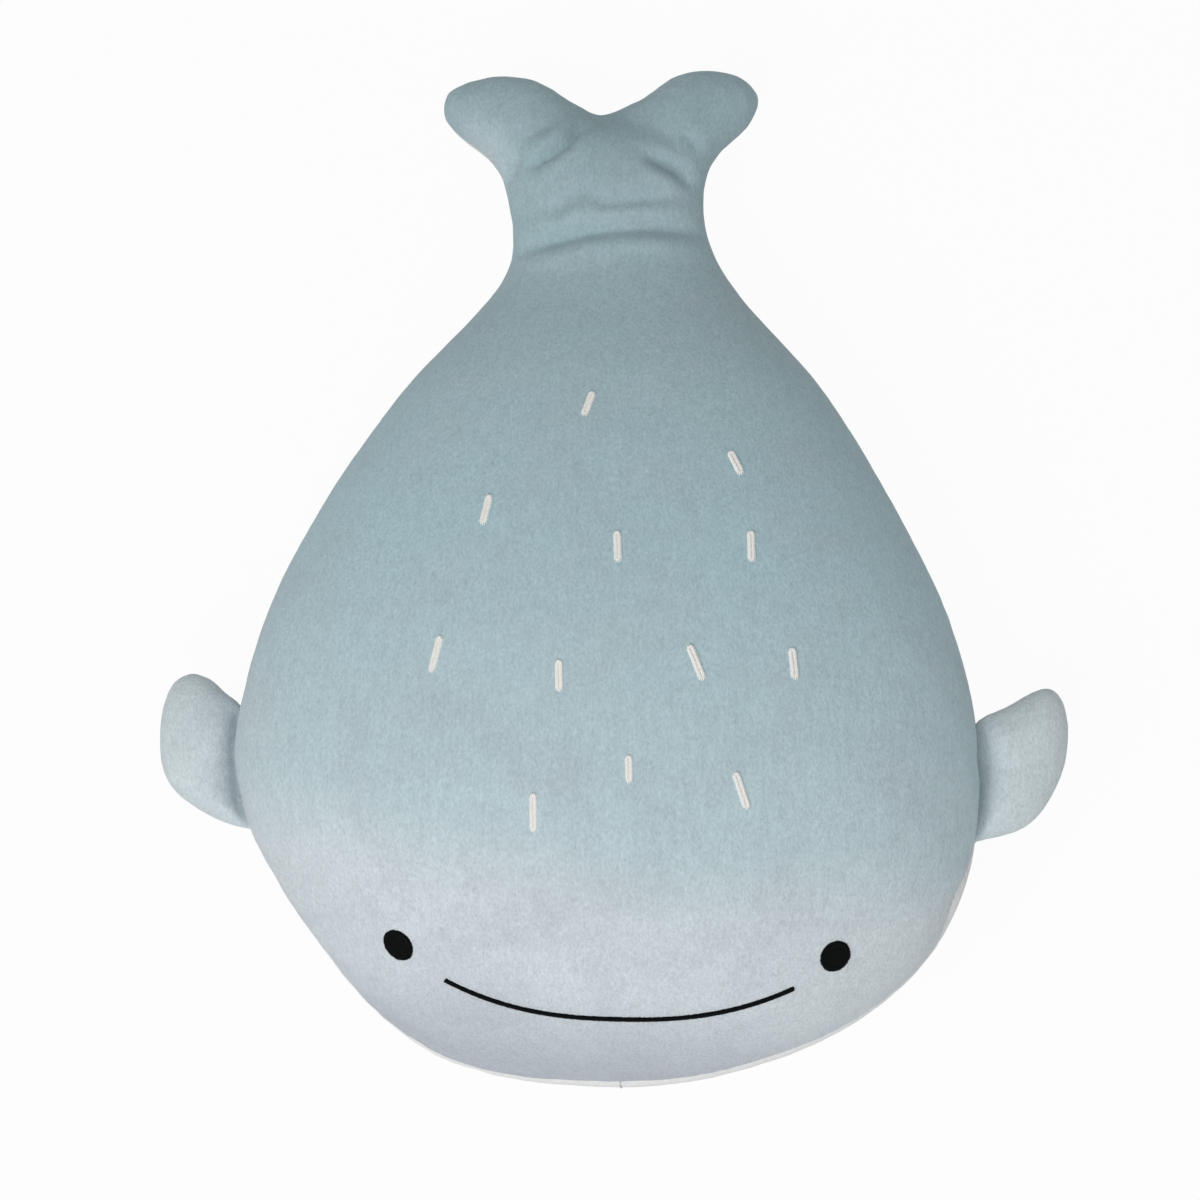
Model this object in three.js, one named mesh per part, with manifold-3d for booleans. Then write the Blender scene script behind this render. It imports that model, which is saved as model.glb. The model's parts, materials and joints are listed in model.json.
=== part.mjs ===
// A stuffed velour cushion toy in the shape of a small whale-like dolphin, lying on its belly.
// Millimetres. +Z is up, the head points to -Y and the tail to +Y.
// Left is -X, as seen from above with the head towards the viewer.
// The origin is on the floor, under the middle of the toy.
import * as THREE from "three";
import { mergeVertices } from "three/addons/utils/BufferGeometryUtils.js";
import Module from "manifold-3d";

const wasm = await Module();
wasm.setup();

// Main sizes of the stuffed toy
const bodyLength = 467; // nose to the tips of the flukes
const bodyWidth = 333;
const seamHeightNose = 74; // height of the side seam above the floor
const seamHeightTail = 42;
const backRise = 0.24 * bodyWidth; // top of the back above the widest line, at the widest part
const waistWidth = 0.267 * bodyWidth;
const waistRise = 0.305 * waistWidth;
const chinTuck = 12; // how far the widest line lies under the side seam at the nose
const flatDepth = 0.5; // how deep the belly is pressed flat by the floor

// Outline from above. Along is a share of the length, from the nose. Wide is a share of the width.
const headReach = 0.3 * bodyLength; // nose to the widest part
const shoulder = { along: 0.426, wide: 0.949 };
const flank = { along: 0.544, wide: 0.8 };
const loin = { along: 0.664, wide: 0.595 };
const tailRoot = { along: 0.756, wide: 0.378 };
const waistAlong = 0.848;

// The belly line: where it leaves the floor, and its rise up to the waist as shares of the last
const waistClearance = 21;
const bellyLeavesFloor = 0.4925;
const hipLine = { along: 0.685, lift: 0.24 };
const tailRootLine = { along: 0.775, lift: 0.67 };

// How far the toy bends sideways as it lies. Aside is a share of the width.
const slouch = [
  { along: 0, aside: -0.0066 },
  { along: 0.063, aside: 0.0144 },
  { along: 0.121, aside: 0.0255 },
  { along: 0.268, aside: 0 },
  { along: 0.45, aside: -0.009 },
  { along: 0.642, aside: -0.003 },
  { along: 0.739, aside: 0.0045 },
  { along: 0.857, aside: -0.0075 },
  { along: 0.942, aside: -0.018 },
];

// Roundness of the cross-section: 2 is an ellipse, more is squarer
const headRoundness = 1.8;
const headBluntness = 0.45; // how fast it closes at the nose: less is blunter, 0.5 an ellipse
const backRoundness = 2.05;
const bellyRoundness = 2.7;
const chinRoundness = 2.2;

// Tail flukes: two tapered lobes on a rounded stock
const flukeSpan = 145;
const flukeDepth = 61; // front of the root to the tip, along the toy
const flukeThickness = 38;
const flukeRootRadius = 26;
const flukeTipRadius = 17;
const stockEnd = 0.955 * bodyLength; // nose to the notch between the flukes
const stockRounding = 0.29 * waistWidth;

// Tail joint: a barrel-shaped knuckle across the stock
const tailHingeAlong = 0.8265;
const knuckleRadius = 1.25 * waistRise;
const knuckleGap = 0.6;

// Flippers: outline from the front of the root round the tip to its back, as shares of the reach
// out from the root and of the length along it.
const flipperReach = 36.5;
const flipperLength = 73;
const flipperThickness = 28;
const leftFlipperOutline = [
  [-0.05, -0.37], [0.216, -0.315], [0.463, -0.258], [0.71, -0.168], [0.877, -0.067],
  [0.975, 0.055], [1, 0.233], [0.975, 0.411], [0.863, 0.545], [0.64, 0.605],
  [0.411, 0.577], [0.164, 0.473], [-0.06, 0.389],
];
const rightFlipperOutline = [
  [-0.05, -0.415], [0.085, -0.382], [0.381, -0.338], [0.608, -0.248], [0.838, -0.078],
  [0.964, 0.082], [1, 0.274], [0.985, 0.432], [0.9, 0.521], [0.767, 0.556],
  [0.562, 0.523], [0.26, 0.43], [-0.05, 0.349],
];
const flipperMiddle = [0.44, 0.11];
const flippers = [
  { name: "left_flipper", side: -1, along: 0.304, outline: leftFlipperOutline },
  { name: "right_flipper", side: 1, along: 0.2912, outline: rightFlipperOutline },
];
const flipperRootRise = 2; // half the thickness where it is sewn in
const flipperTuck = 0.2; // how far its sewn edge reaches into the groove of the side seam
const flipperSwell = 0.25 * flipperReach; // how far out from the root the stuffing fills out
const flipperDroop = 12; // degrees below level at rest
const flipperRoundness = 2.2;

// Cloth, stuffing and thread
const clothThickness = 2;
const clearance = 0.3;
const seamAllowance = 7;
const threadThickness = 0.9;
const threadDepth = 1; // side seam thread under the cloth's surface
const bellyThreadDepth = 0.6;
const bellyThreadRise = 0.6;
const embroideryRise = 1.2;

// Embroidered eyes, smile and back stitches, placed from above. Aside is a share of half the width.
const eyeLength = 14.5;
const eyeWidth = 11.5;
const eyes = [
  { name: "left_eye", aside: -0.5195, along: 0.1328, turn: -40 },
  { name: "right_eye", aside: 0.6096, along: 0.1221, turn: 40 },
];
const smile = { aside: 0.051, along: 0.0642, turn: -1.5 };
const smileWidth = 149;
const smileSag = 15;
const smileThickness = 2.8;
const stitchWidth = 3.4;
const shortStitch = 12;
const middleStitch = 14;
const longStitch = 16.5;
const backStitches = [
  { aside: -0.027, along: 0.637, length: shortStitch, turn: -18 },
  { aside: 0.36, along: 0.578, length: shortStitch, turn: 26 },
  { aside: -0.288, along: 0.534, length: middleStitch, turn: -11 },
  { aside: 0.06, along: 0.496, length: middleStitch, turn: 3 },
  { aside: 0.402, along: 0.497, length: middleStitch, turn: 2 },
  { aside: -0.408, along: 0.397, length: longStitch, turn: -13 },
  { aside: -0.084, along: 0.375, length: middleStitch, turn: 2 },
  { aside: 0.264, along: 0.3865, length: longStitch, turn: 22 },
  { aside: 0.51, along: 0.3865, length: middleStitch, turn: 6 },
  { aside: 0.096, along: 0.289, length: shortStitch, turn: 2 },
  { aside: -0.147, along: 0.2505, length: longStitch, turn: 0 },
  { aside: 0.378, along: 0.27, length: longStitch, turn: 18 },
];

// Mesh fineness
const rowsHead = 6;
const rowsBack = 8;
const rowsStock = 2;
const pointsRound = 20;
const lobeSteps = 3;
const lobeSides = 12;
const outlinePoints = 16;
const flipperRings = [1, 0.82, 0.45]; // shares of the way out to the flipper's edge
const stitchSteps = 2;
const eyeSteps = 6;
const smileSteps = 12;
const barrelSides = 24;
const finestEdge = 0.02; // shorter edges and thinner slivers are smoothed away

const slate = new THREE.MeshStandardMaterial({ color: "#9db3ba", roughness: 0.9, metalness: 0 });
const cream = new THREE.MeshStandardMaterial({ color: "#e9e9e7", roughness: 0.9, metalness: 0 });
const fibre = new THREE.MeshStandardMaterial({ color: "#f6f5f0", roughness: 1, metalness: 0 });
const black = new THREE.MeshStandardMaterial({ color: "#16191b", roughness: 0.6, metalness: 0 });
const white = new THREE.MeshStandardMaterial({ color: "#f3f1ea", roughness: 0.6, metalness: 0 });
const sewing = new THREE.MeshStandardMaterial({ color: "#c9cfd2", roughness: 0.7, metalness: 0 });

const radians = THREE.MathUtils.degToRad;
const nose = -bodyLength / 2;
const widest = nose + headReach;
const yAt = (along) => nose + along * bodyLength;
const tallEnough = 4 * bodyLength; // larger than the toy, for cutting tools

// A smooth curve through [place, value] pairs, level beyond its ends.
function smoothThrough(pairs) {
  const slopes = pairs.map((pair, i) => {
    const before = pairs[Math.max(i - 1, 0)];
    const after = pairs[Math.min(i + 1, pairs.length - 1)];
    const atEnd = i === 0 || i === pairs.length - 1;
    return atEnd ? 0 : (after[1] - before[1]) / (after[0] - before[0]);
  });
  return (place) => {
    if (place <= pairs[0][0]) return pairs[0][1];
    if (place >= pairs.at(-1)[0]) return pairs.at(-1)[1];
    const i = pairs.findLastIndex((pair) => pair[0] <= place);
    const span = pairs[i + 1][0] - pairs[i][0];
    const t = (place - pairs[i][0]) / span;
    const rise = pairs[i + 1][1] - pairs[i][1];
    const startSlope = slopes[i] * span;
    const endSlope = slopes[i + 1] * span;
    const bend = (startSlope - rise) * (1 - t) + (rise - endSlope) * t;
    return pairs[i][1] + t * rise + t * (1 - t) * bend;
  };
}

const spineAt = smoothThrough(slouch.map((s) => [yAt(s.along), s.aside * bodyWidth]));
const flankAt = smoothThrough([
  [widest, bodyWidth / 2],
  ...[shoulder, flank, loin, tailRoot].map((s) => [yAt(s.along), (s.wide * bodyWidth) / 2]),
  [yAt(waistAlong), waistWidth / 2],
]);
const bellyLineAt = smoothThrough([
  [yAt(bellyLeavesFloor), -flatDepth],
  ...[hipLine, tailRootLine].map((s) => [yAt(s.along), s.lift * waistClearance]),
  [yAt(waistAlong), waistClearance],
]);

const seamTilt = Math.atan((seamHeightNose - seamHeightTail) / bodyLength);
const seamAt = (y) => seamHeightNose - (y - nose) * Math.tan(seamTilt);
const widestLineAt = (y) => {
  const forward = Math.max(0, (widest - y) / headReach);
  return seamAt(y) - chinTuck * forward ** 2;
};

// Height of the back over the widest line, fuller in proportion where the body is narrow.
function riseFor(half) {
  const narrow = waistRise / (waistWidth / 2);
  const wide = backRise / (bodyWidth / 2);
  const share = (half - waistWidth / 2) / (bodyWidth / 2 - waistWidth / 2);
  return half * THREE.MathUtils.lerp(narrow, wide, share);
}

// How far the body has closed at y, from 1 in the middle to 0 at the nose and the stock's end.
function closing(y, inset, power, bluntness = 1 / power) {
  const roundFrom = nose + stockEnd - stockRounding;
  const head = Math.max(0, (widest - y) / (headReach - inset));
  const tail = Math.max(0, (y - roundFrom) / (stockRounding - inset));
  return Math.max(0, 1 - head ** power) ** bluntness * Math.sqrt(Math.max(0, 1 - tail ** 2));
}

// One closed cross-section of the body, its cloth taken in by inset.
// It starts on the side seam, and half of its points lie over the seam and half under it.
function bodySection(y, inset) {
  const half = (flankAt(y) - inset) * closing(y, inset, headRoundness, headBluntness);
  const rise = (riseFor(flankAt(y)) - inset) * closing(y, inset, 2);
  const drop = (widestLineAt(y) - bellyLineAt(y) - inset) * closing(y, inset, chinRoundness);
  const seamUp = Math.min(0.9, (seamAt(y) - widestLineAt(y)) / rise);
  const seamAngle = Math.asin(seamUp ** (backRoundness / 2));
  const steps = pointsRound / 2;
  return Array.from({ length: pointsRound }, (_, i) => {
    const over = seamAngle + (i / steps) * (Math.PI - 2 * seamAngle);
    const under = Math.PI - seamAngle + (i / steps - 1) * (Math.PI + 2 * seamAngle);
    const angle = i < steps ? over : under;
    const across = Math.cos(angle);
    const up = Math.sin(angle);
    const power = 2 / (up >= 0 ? backRoundness : bellyRoundness);
    const height = Math.abs(up) ** power * (up >= 0 ? rise : -drop);
    const x = spineAt(y) + half * Math.sign(across) * Math.abs(across) ** power;
    return new THREE.Vector3(x, y, widestLineAt(y) + height);
  });
}

// A closed skin through rings of points, ending in one point before the first and after the last.
function skin(rings, first, last) {
  const count = rings[0].length;
  const vertices = [first, ...rings.flat(), last];
  const at = (ring, i) => 1 + ring * count + (i % count);
  const faces = [];
  for (let i = 0; i < count; i++) {
    faces.push(0, at(0, i), at(0, i + 1));
    faces.push(vertices.length - 1, at(rings.length - 1, i + 1), at(rings.length - 1, i));
    for (let ring = 0; ring < rings.length - 1; ring++) {
      faces.push(at(ring, i), at(ring + 1, i), at(ring + 1, i + 1));
      faces.push(at(ring, i), at(ring + 1, i + 1), at(ring, i + 1));
    }
  }
  return new THREE.BufferGeometry().setFromPoints(vertices).setIndex(faces);
}

// A closed geometry as a solid for cutting and joining, facing out whichever way it was wound.
function solidOf(geometry) {
  const bare = geometry.clone();
  for (const name of Object.keys(bare.attributes)) {
    if (name !== "position") bare.deleteAttribute(name);
  }
  const merged = mergeVertices(bare, 1e-4);
  const triVerts = new Uint32Array(merged.index.array);
  const vertProperties = merged.attributes.position.array;
  const made = new wasm.Manifold(new wasm.Mesh({ numProp: 3, vertProperties, triVerts }));
  if (made.volume() > 0) return made;
  return new wasm.Manifold(new wasm.Mesh({ numProp: 3, vertProperties, triVerts: triVerts.reverse() }));
}

function meshOf(name, solid, material) {
  const made = solid.simplify(finestEdge).getMesh();
  const geometry = new THREE.BufferGeometry();
  geometry.setAttribute("position", new THREE.BufferAttribute(made.vertProperties, 3));
  geometry.setIndex(new THREE.BufferAttribute(made.triVerts, 1));
  geometry.computeVertexNormals();
  const mesh = new THREE.Mesh(geometry, material);
  mesh.name = name;
  return mesh;
}

// The places of the cross-sections, from the nose to the end of the stock.
function sectionPlaces(inset) {
  const roundFrom = nose + stockEnd - stockRounding;
  const quarter = Math.PI / 2;
  const rows = [];
  for (let i = 1; i < rowsHead; i++) {
    rows.push(widest - (headReach - inset) * Math.cos((i * quarter) / rowsHead));
  }
  for (let i = 0; i < rowsBack; i++) rows.push(THREE.MathUtils.lerp(widest, roundFrom, i / rowsBack));
  for (let i = 0; i < rowsStock; i++) {
    rows.push(roundFrom + (stockRounding - inset) * Math.sin((i * quarter) / rowsStock));
  }
  return rows;
}

function torsoForm(inset) {
  const tip = (y) => new THREE.Vector3(spineAt(y), y, widestLineAt(y));
  const rings = sectionPlaces(inset).map((y) => bodySection(y, inset));
  return solidOf(skin(rings, tip(nose + inset), tip(nose + stockEnd - inset)));
}

// A fluke's axis runs from the middle of its root to the middle of its round tip.
const flukeRootAside = flukeRootRadius;
const flukeRootY = nose + bodyLength - flukeDepth + flukeRootRadius;
const flukeOut = flukeSpan / 2 - flukeTipRadius - flukeRootAside;
const flukeBack = flukeDepth - flukeRootRadius - flukeTipRadius;
const flukeLength = Math.hypot(flukeOut, flukeBack);
const flukeSweep = Math.atan2(flukeOut, flukeBack);

// Half the outline of a fluke along its own axis: two circles of different size and their tangent.
function flukeProfile(inset) {
  const rootRadius = flukeRootRadius - inset;
  const tipRadius = flukeTipRadius - inset;
  const taper = Math.asin((rootRadius - tipRadius) / flukeLength);
  const arc = (centre, radius, from, to) =>
    Array.from({ length: lobeSteps + 1 }, (_, i) => {
      const angle = THREE.MathUtils.lerp(from, to, i / lobeSteps);
      const out = Math.abs(angle) > Math.PI / 2 - 1e-6 ? 0 : radius * Math.cos(angle);
      return new THREE.Vector2(out, centre + radius * Math.sin(angle));
    });
  return [
    ...arc(0, rootRadius, -Math.PI / 2, taper),
    ...arc(flukeLength, tipRadius, taper, Math.PI / 2),
  ];
}

// Moves a fluke, or its outline's wall, from its own axis to its place on the tail.
function placeFluke(geometry, side) {
  geometry.rotateZ(-side * flukeSweep);
  geometry.rotateX(-seamTilt);
  geometry.translate(side * flukeRootAside + spineAt(flukeRootY), flukeRootY, seamAt(flukeRootY));
  return solidOf(geometry);
}

function flukeForm(side, inset) {
  const lobe = new THREE.LatheGeometry(flukeProfile(inset), lobeSides);
  lobe.scale(1, 1, (flukeThickness / 2 - inset) / (flukeRootRadius - inset));
  return placeFluke(lobe, side);
}

function bodyForm(inset) {
  return torsoForm(inset).add(flukeForm(-1, inset)).add(flukeForm(1, inset));
}

// An upright wall along an outline, much taller than the toy.
function upright(points) {
  const shape = new THREE.Shape(points);
  const wall = new THREE.ExtrudeGeometry(shape, { depth: tallEnough, bevelEnabled: false });
  return wall.translate(0, 0, -tallEnough / 2);
}

// Everything inside the side seam's outline, as seen from above, taken in by inset.
function insideSeamOfTorso(inset) {
  const sections = sectionPlaces(inset).map((y) => bodySection(y, inset));
  const onSeam = (index) => sections.map((s) => new THREE.Vector2(s[index].x, s[index].y));
  const end = nose + stockEnd - inset;
  const notch = new THREE.Vector2(spineAt(end), end);
  return solidOf(upright([...onSeam(0), notch, ...onSeam(pointsRound / 2).reverse()]));
}

function insideSeam(inset) {
  const half = flukeProfile(inset);
  const points = [...half, ...half.slice(1, -1).reverse().map((p) => new THREE.Vector2(-p.x, p.y))];
  return [-1, 1].reduce(
    (made, side) => made.add(placeFluke(upright(points), side)),
    insideSeamOfTorso(inset),
  );
}

function box(width, depth, height, x, y, z) {
  return solidOf(new THREE.BoxGeometry(width, depth, height).translate(x, y, z));
}

// A slab along the tilted side seam, between two heights over it.
function seamSlab(from, to) {
  const slab = new THREE.BoxGeometry(tallEnough, tallEnough, to - from);
  slab.translate(0, 0, (from + to) / 2);
  slab.rotateX(-seamTilt);
  return solidOf(slab.translate(0, nose, seamHeightNose));
}

// A line beside the middle of the belly, which follows the bend of the spine.
const spinePlaces = [-0.3, ...slouch.map((s) => s.along), 1.3].map(yAt);
const besideSpine = (aside) => spinePlaces.map((y) => new THREE.Vector2(spineAt(y) + aside, y));

// An upright wall along the middle of the belly.
function spineWall(width) {
  return solidOf(upright([...besideSpine(width / 2), ...besideSpine(-width / 2).reverse()]));
}

// Everything on one side of the middle of the belly.
function spineSide(side) {
  const far = side * tallEnough;
  const corners = [spinePlaces.at(-1), spinePlaces[0]].map((y) => new THREE.Vector2(far, y));
  return solidOf(upright([...besideSpine((side * clearance) / 2), ...corners]));
}

const hingeY = yAt(tailHingeAlong);

// The barrel that the torso ends in and the tail swings round.
function knuckleBarrel(radius) {
  const barrel = new THREE.CylinderGeometry(radius, radius, tallEnough, barrelSides);
  barrel.rotateZ(Math.PI / 2);
  return solidOf(barrel.translate(0, hingeY, seamAt(hingeY)));
}

const behindHinge = box(tallEnough, tallEnough, tallEnough, 0, hingeY + tallEnough / 2, 0);
const aheadOfHinge = box(tallEnough, tallEnough, tallEnough, 0, hingeY - tallEnough / 2, 0);
const tailRegion = behindHinge.subtract(knuckleBarrel(knuckleRadius + knuckleGap));
const torsoRegion = aheadOfHinge.add(knuckleBarrel(knuckleRadius));

// The cloth: a shell with a groove for the thread of the side seam. Ahead of the hinge it also has
// the seam allowance, turned in.
const floor = box(tallEnough, tallEnough, tallEnough, 0, 0, -tallEnough / 2);
const shell = bodyForm(0).subtract(floor).subtract(bodyForm(clothThickness));
const halfGap = clearance / 2;
const overSeam = seamSlab(halfGap, tallEnough);
const underSeam = seamSlab(-tallEnough, -halfGap);
const allowanceReach = clothThickness + seamAllowance;
const allowance = insideSeamOfTorso(clothThickness / 2)
  .subtract(insideSeamOfTorso(allowanceReach))
  .intersect(seamSlab(-halfGap - clothThickness, halfGap + clothThickness))
  .intersect(aheadOfHinge.translate(0, -clearance, 0));
const grooveHalf = threadThickness / 2 + clearance;
const groove = seamSlab(-grooveHalf, grooveHalf)
  .subtract(insideSeam(threadDepth + threadThickness + clearance));
const cloth = shell.add(allowance).subtract(groove);
const upperCloth = cloth.intersect(overSeam);
const lowerCloth = cloth.intersect(underSeam);
const bellyGroove = spineWall(threadThickness + 2 * clearance)
  .subtract(bodyForm(bellyThreadDepth + bellyThreadRise + clearance))
  .intersect(underSeam);

// The stuffing fills the cloth and leaves room for the allowance.
const allowanceRoomHalf = halfGap + clothThickness + clearance;
const allowanceRoom = seamSlab(-allowanceRoomHalf, allowanceRoomHalf)
  .subtract(insideSeamOfTorso(allowanceReach + clearance))
  .intersect(aheadOfHinge);
const stuffing = bodyForm(clothThickness + clearance).subtract(allowanceRoom);

const sideThread = insideSeam(threadDepth)
  .subtract(insideSeam(threadDepth + threadThickness))
  .intersect(seamSlab(-threadThickness / 2, threadThickness / 2));
const bellyThread = bodyForm(bellyThreadDepth)
  .subtract(bodyForm(bellyThreadDepth + bellyThreadRise))
  .intersect(spineWall(threadThickness))
  .intersect(seamSlab(-tallEnough, -grooveHalf - clearance));

function bellyPanel(side) {
  return lowerCloth.intersect(spineSide(side)).subtract(bellyGroove);
}

// Embroidery: the body's own surface, raised by the thread and cut to a footprint seen from above.
const embroideryTop = torsoForm(-clearance - embroideryRise);
const embroideryBase = torsoForm(-clearance);
function embroider(name, footprint, place, material) {
  const prism = upright(footprint);
  prism.rotateZ(radians(place.turn));
  prism.translate((place.aside * bodyWidth) / 2, yAt(place.along), 0);
  const pad = embroideryTop.intersect(solidOf(prism)).subtract(embroideryBase).intersect(overSeam);
  return meshOf(name, pad, material);
}

const eyeFootprint = new THREE.EllipseCurve(0, 0, eyeLength / 2, eyeWidth / 2)
  .getPoints(2 * eyeSteps)
  .slice(1);

// A bar with round ends that runs along Y.
function barFootprint(length) {
  const round = stitchWidth / 2;
  const reach = length / 2 - round;
  const end = (y, from) =>
    new THREE.EllipseCurve(0, y, round, round, from, from + Math.PI).getPoints(2 * stitchSteps);
  return [...end(reach, 0), ...end(-reach, Math.PI)];
}

// A band along the arc of a circle through both corners of the mouth and its lowest point.
function smileFootprint() {
  const radius = ((smileWidth / 2) ** 2 + smileSag ** 2) / (2 * smileSag);
  const spread = Math.asin(smileWidth / 2 / radius);
  const arc = (r) =>
    Array.from({ length: smileSteps + 1 }, (_, i) => {
      const angle = THREE.MathUtils.lerp(-spread, spread, i / smileSteps);
      return new THREE.Vector2(r * Math.sin(angle), radius - r * Math.cos(angle));
    });
  const half = smileThickness / 2;
  return [...arc(radius + half), ...arc(radius - half).reverse()];
}

const eyeMeshes = eyes.map((eye) => embroider(eye.name, eyeFootprint, eye, black));
const smileMesh = embroider("smile", smileFootprint(), smile, black);
const stitchMeshes = backStitches.map((mark, i) => {
  const name = `back_stitch_${String(i + 1).padStart(2, "0")}`;
  return embroider(name, barFootprint(mark.length), mark, white);
});

// A stuffed flipper in its own frame: x out from the root, y along it, z up.
function flipperForm(outline, inset) {
  const inPlan = ([out, along]) => new THREE.Vector2(out * flipperReach, along * flipperLength);
  const curve = new THREE.SplineCurve(outline.map(inPlan));
  const middle = inPlan(flipperMiddle);
  const rim = curve.getSpacedPoints(outlinePoints);
  const shrink = (point) => {
    const spoke = point.clone().sub(middle);
    return middle.clone().add(spoke.multiplyScalar(1 - inset / spoke.length()));
  };
  const lift = (point, share) => {
    const swell = 1 - Math.exp(-Math.max(0, point.x) / flipperSwell);
    const dome = Math.sqrt(1 - share ** flipperRoundness);
    return (flipperRootRise + (flipperThickness / 2 - flipperRootRise) * swell - inset) * dome;
  };
  const ringAt = (share, side) =>
    rim.map((point) => {
      const flat = middle.clone().lerp(shrink(point), share);
      const height = side * Math.max(0.01, lift(flat, share));
      return new THREE.Vector3(flat.x, flat.y, share === 1 ? 0 : height);
    });
  const pole = (side) => new THREE.Vector3(middle.x, middle.y, side * lift(middle, 0));
  const stack = [
    ...flipperRings.toReversed().map((share) => ringAt(share, 1)),
    ...flipperRings.slice(1).map((share) => ringAt(share, -1)),
  ];
  return solidOf(skin(stack, pole(1), pole(-1)));
}

const aboveFlipperSeam = box(tallEnough, tallEnough, tallEnough, 0, 0, tallEnough / 2 + halfGap);
const belowFlipperSeam = box(tallEnough, tallEnough, tallEnough, 0, 0, -tallEnough / 2 - halfGap);

// The flipper is sewn into the side seam. Its hinge line touches the outline of the body.
function flipper({ name, side, along: place, outline }) {
  const y = yAt(place);
  const shell = flipperForm(outline, 0).subtract(flipperForm(outline, clothThickness));
  const flankSlope = (flankAt(y + 1) - flankAt(y - 1)) / 2;
  const pieces = [
    meshOf(`${name}_top_panel`, shell.intersect(aboveFlipperSeam), slate),
    meshOf(`${name}_under_panel`, shell.intersect(belowFlipperSeam), slate),
    meshOf(`${name}_stuffing`, flipperForm(outline, clothThickness + clearance), fibre),
  ];
  const group = new THREE.Group();
  for (const piece of pieces) {
    if (side < 0) piece.geometry = mirrored(piece.geometry);
    piece.rotation.y = radians(side * flipperDroop);
    group.add(piece);
  }
  const along = new THREE.Vector3(side * flankSlope, 1, -Math.tan(seamTilt)).normalize();
  const up = new THREE.Vector3(1, 0, 0).cross(along).normalize();
  const right = along.clone().cross(up);
  group.quaternion.setFromRotationMatrix(new THREE.Matrix4().makeBasis(right, along, up));
  const standOff = flankAt(y) + flipperRootRise - flipperTuck;
  group.position.set(spineAt(y) + side * standOff, y, seamAt(y));
  return group;
}

function mirrored(geometry) {
  const flipped = geometry.clone().scale(-1, 1, 1);
  flipped.setIndex(Array.from(flipped.index.array).reverse());
  flipped.computeVertexNormals();
  return flipped;
}

const toy = new THREE.Group();
toy.add(
  meshOf("back_panel", upperCloth.intersect(torsoRegion), slate),
  meshOf("belly_panel_left", bellyPanel(-1).intersect(torsoRegion), cream),
  meshOf("belly_panel_right", bellyPanel(1).intersect(torsoRegion), cream),
  meshOf("body_stuffing", stuffing.intersect(torsoRegion), fibre),
  meshOf("side_seam_thread", sideThread.intersect(torsoRegion), sewing),
  meshOf("belly_seam_thread", bellyThread.intersect(torsoRegion), sewing),
  meshOf("tail_back_panel", upperCloth.intersect(tailRegion), slate),
  meshOf("tail_belly_panel_left", bellyPanel(-1).intersect(tailRegion), cream),
  meshOf("tail_belly_panel_right", bellyPanel(1).intersect(tailRegion), cream),
  meshOf("tail_stuffing", stuffing.intersect(tailRegion), fibre),
  meshOf("tail_side_seam_thread", sideThread.intersect(tailRegion), sewing),
  meshOf("tail_belly_seam_thread", bellyThread.intersect(tailRegion), sewing),
  ...eyeMeshes,
  smileMesh,
  ...stitchMeshes,
  ...flippers.map(flipper),
);

export default toy;
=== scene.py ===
"""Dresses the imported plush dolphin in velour, thread and stuffing, and sets its stage.

Lengths are in metres. The nose points to -Y, the tail to +Y, and the toy lies on z = 0.
"""

import json
import math

import bmesh
import bpy
from bpy.props import FloatProperty, FloatVectorProperty, IntProperty, PointerProperty
from mathutils import Matrix, Vector, noise
from mathutils.bvhtree import BVHTree


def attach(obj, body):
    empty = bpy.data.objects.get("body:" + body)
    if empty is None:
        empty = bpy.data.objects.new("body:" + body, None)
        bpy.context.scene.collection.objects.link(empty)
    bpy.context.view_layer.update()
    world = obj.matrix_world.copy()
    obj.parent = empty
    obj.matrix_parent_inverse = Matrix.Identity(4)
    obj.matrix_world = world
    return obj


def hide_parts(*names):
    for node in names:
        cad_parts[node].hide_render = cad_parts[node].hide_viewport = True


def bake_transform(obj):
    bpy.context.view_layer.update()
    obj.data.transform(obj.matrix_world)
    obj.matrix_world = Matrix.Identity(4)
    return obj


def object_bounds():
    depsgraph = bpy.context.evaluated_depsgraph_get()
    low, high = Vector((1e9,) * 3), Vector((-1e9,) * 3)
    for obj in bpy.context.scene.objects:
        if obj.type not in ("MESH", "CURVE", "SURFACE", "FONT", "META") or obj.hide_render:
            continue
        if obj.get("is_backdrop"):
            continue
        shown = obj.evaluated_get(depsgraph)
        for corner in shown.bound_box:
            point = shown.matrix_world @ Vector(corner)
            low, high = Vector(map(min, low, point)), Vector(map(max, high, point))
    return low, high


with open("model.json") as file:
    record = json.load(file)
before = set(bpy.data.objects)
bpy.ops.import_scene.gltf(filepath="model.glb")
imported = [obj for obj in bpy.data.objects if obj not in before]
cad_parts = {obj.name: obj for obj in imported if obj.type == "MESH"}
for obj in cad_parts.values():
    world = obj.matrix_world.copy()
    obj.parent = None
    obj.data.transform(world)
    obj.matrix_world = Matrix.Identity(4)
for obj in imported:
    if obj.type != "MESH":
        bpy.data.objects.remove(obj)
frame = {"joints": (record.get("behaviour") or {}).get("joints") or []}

bl_info = {
    "name": "Plush Dolphin",
    "version": (1, 0, 0),
    "blender": (4, 5, 0),
    "location": "3D View > Sidebar > Plush Dolphin",
    "description": "Sews a stuffed velour dolphin over its packed frame",
    "category": "Add Mesh",
}

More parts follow.
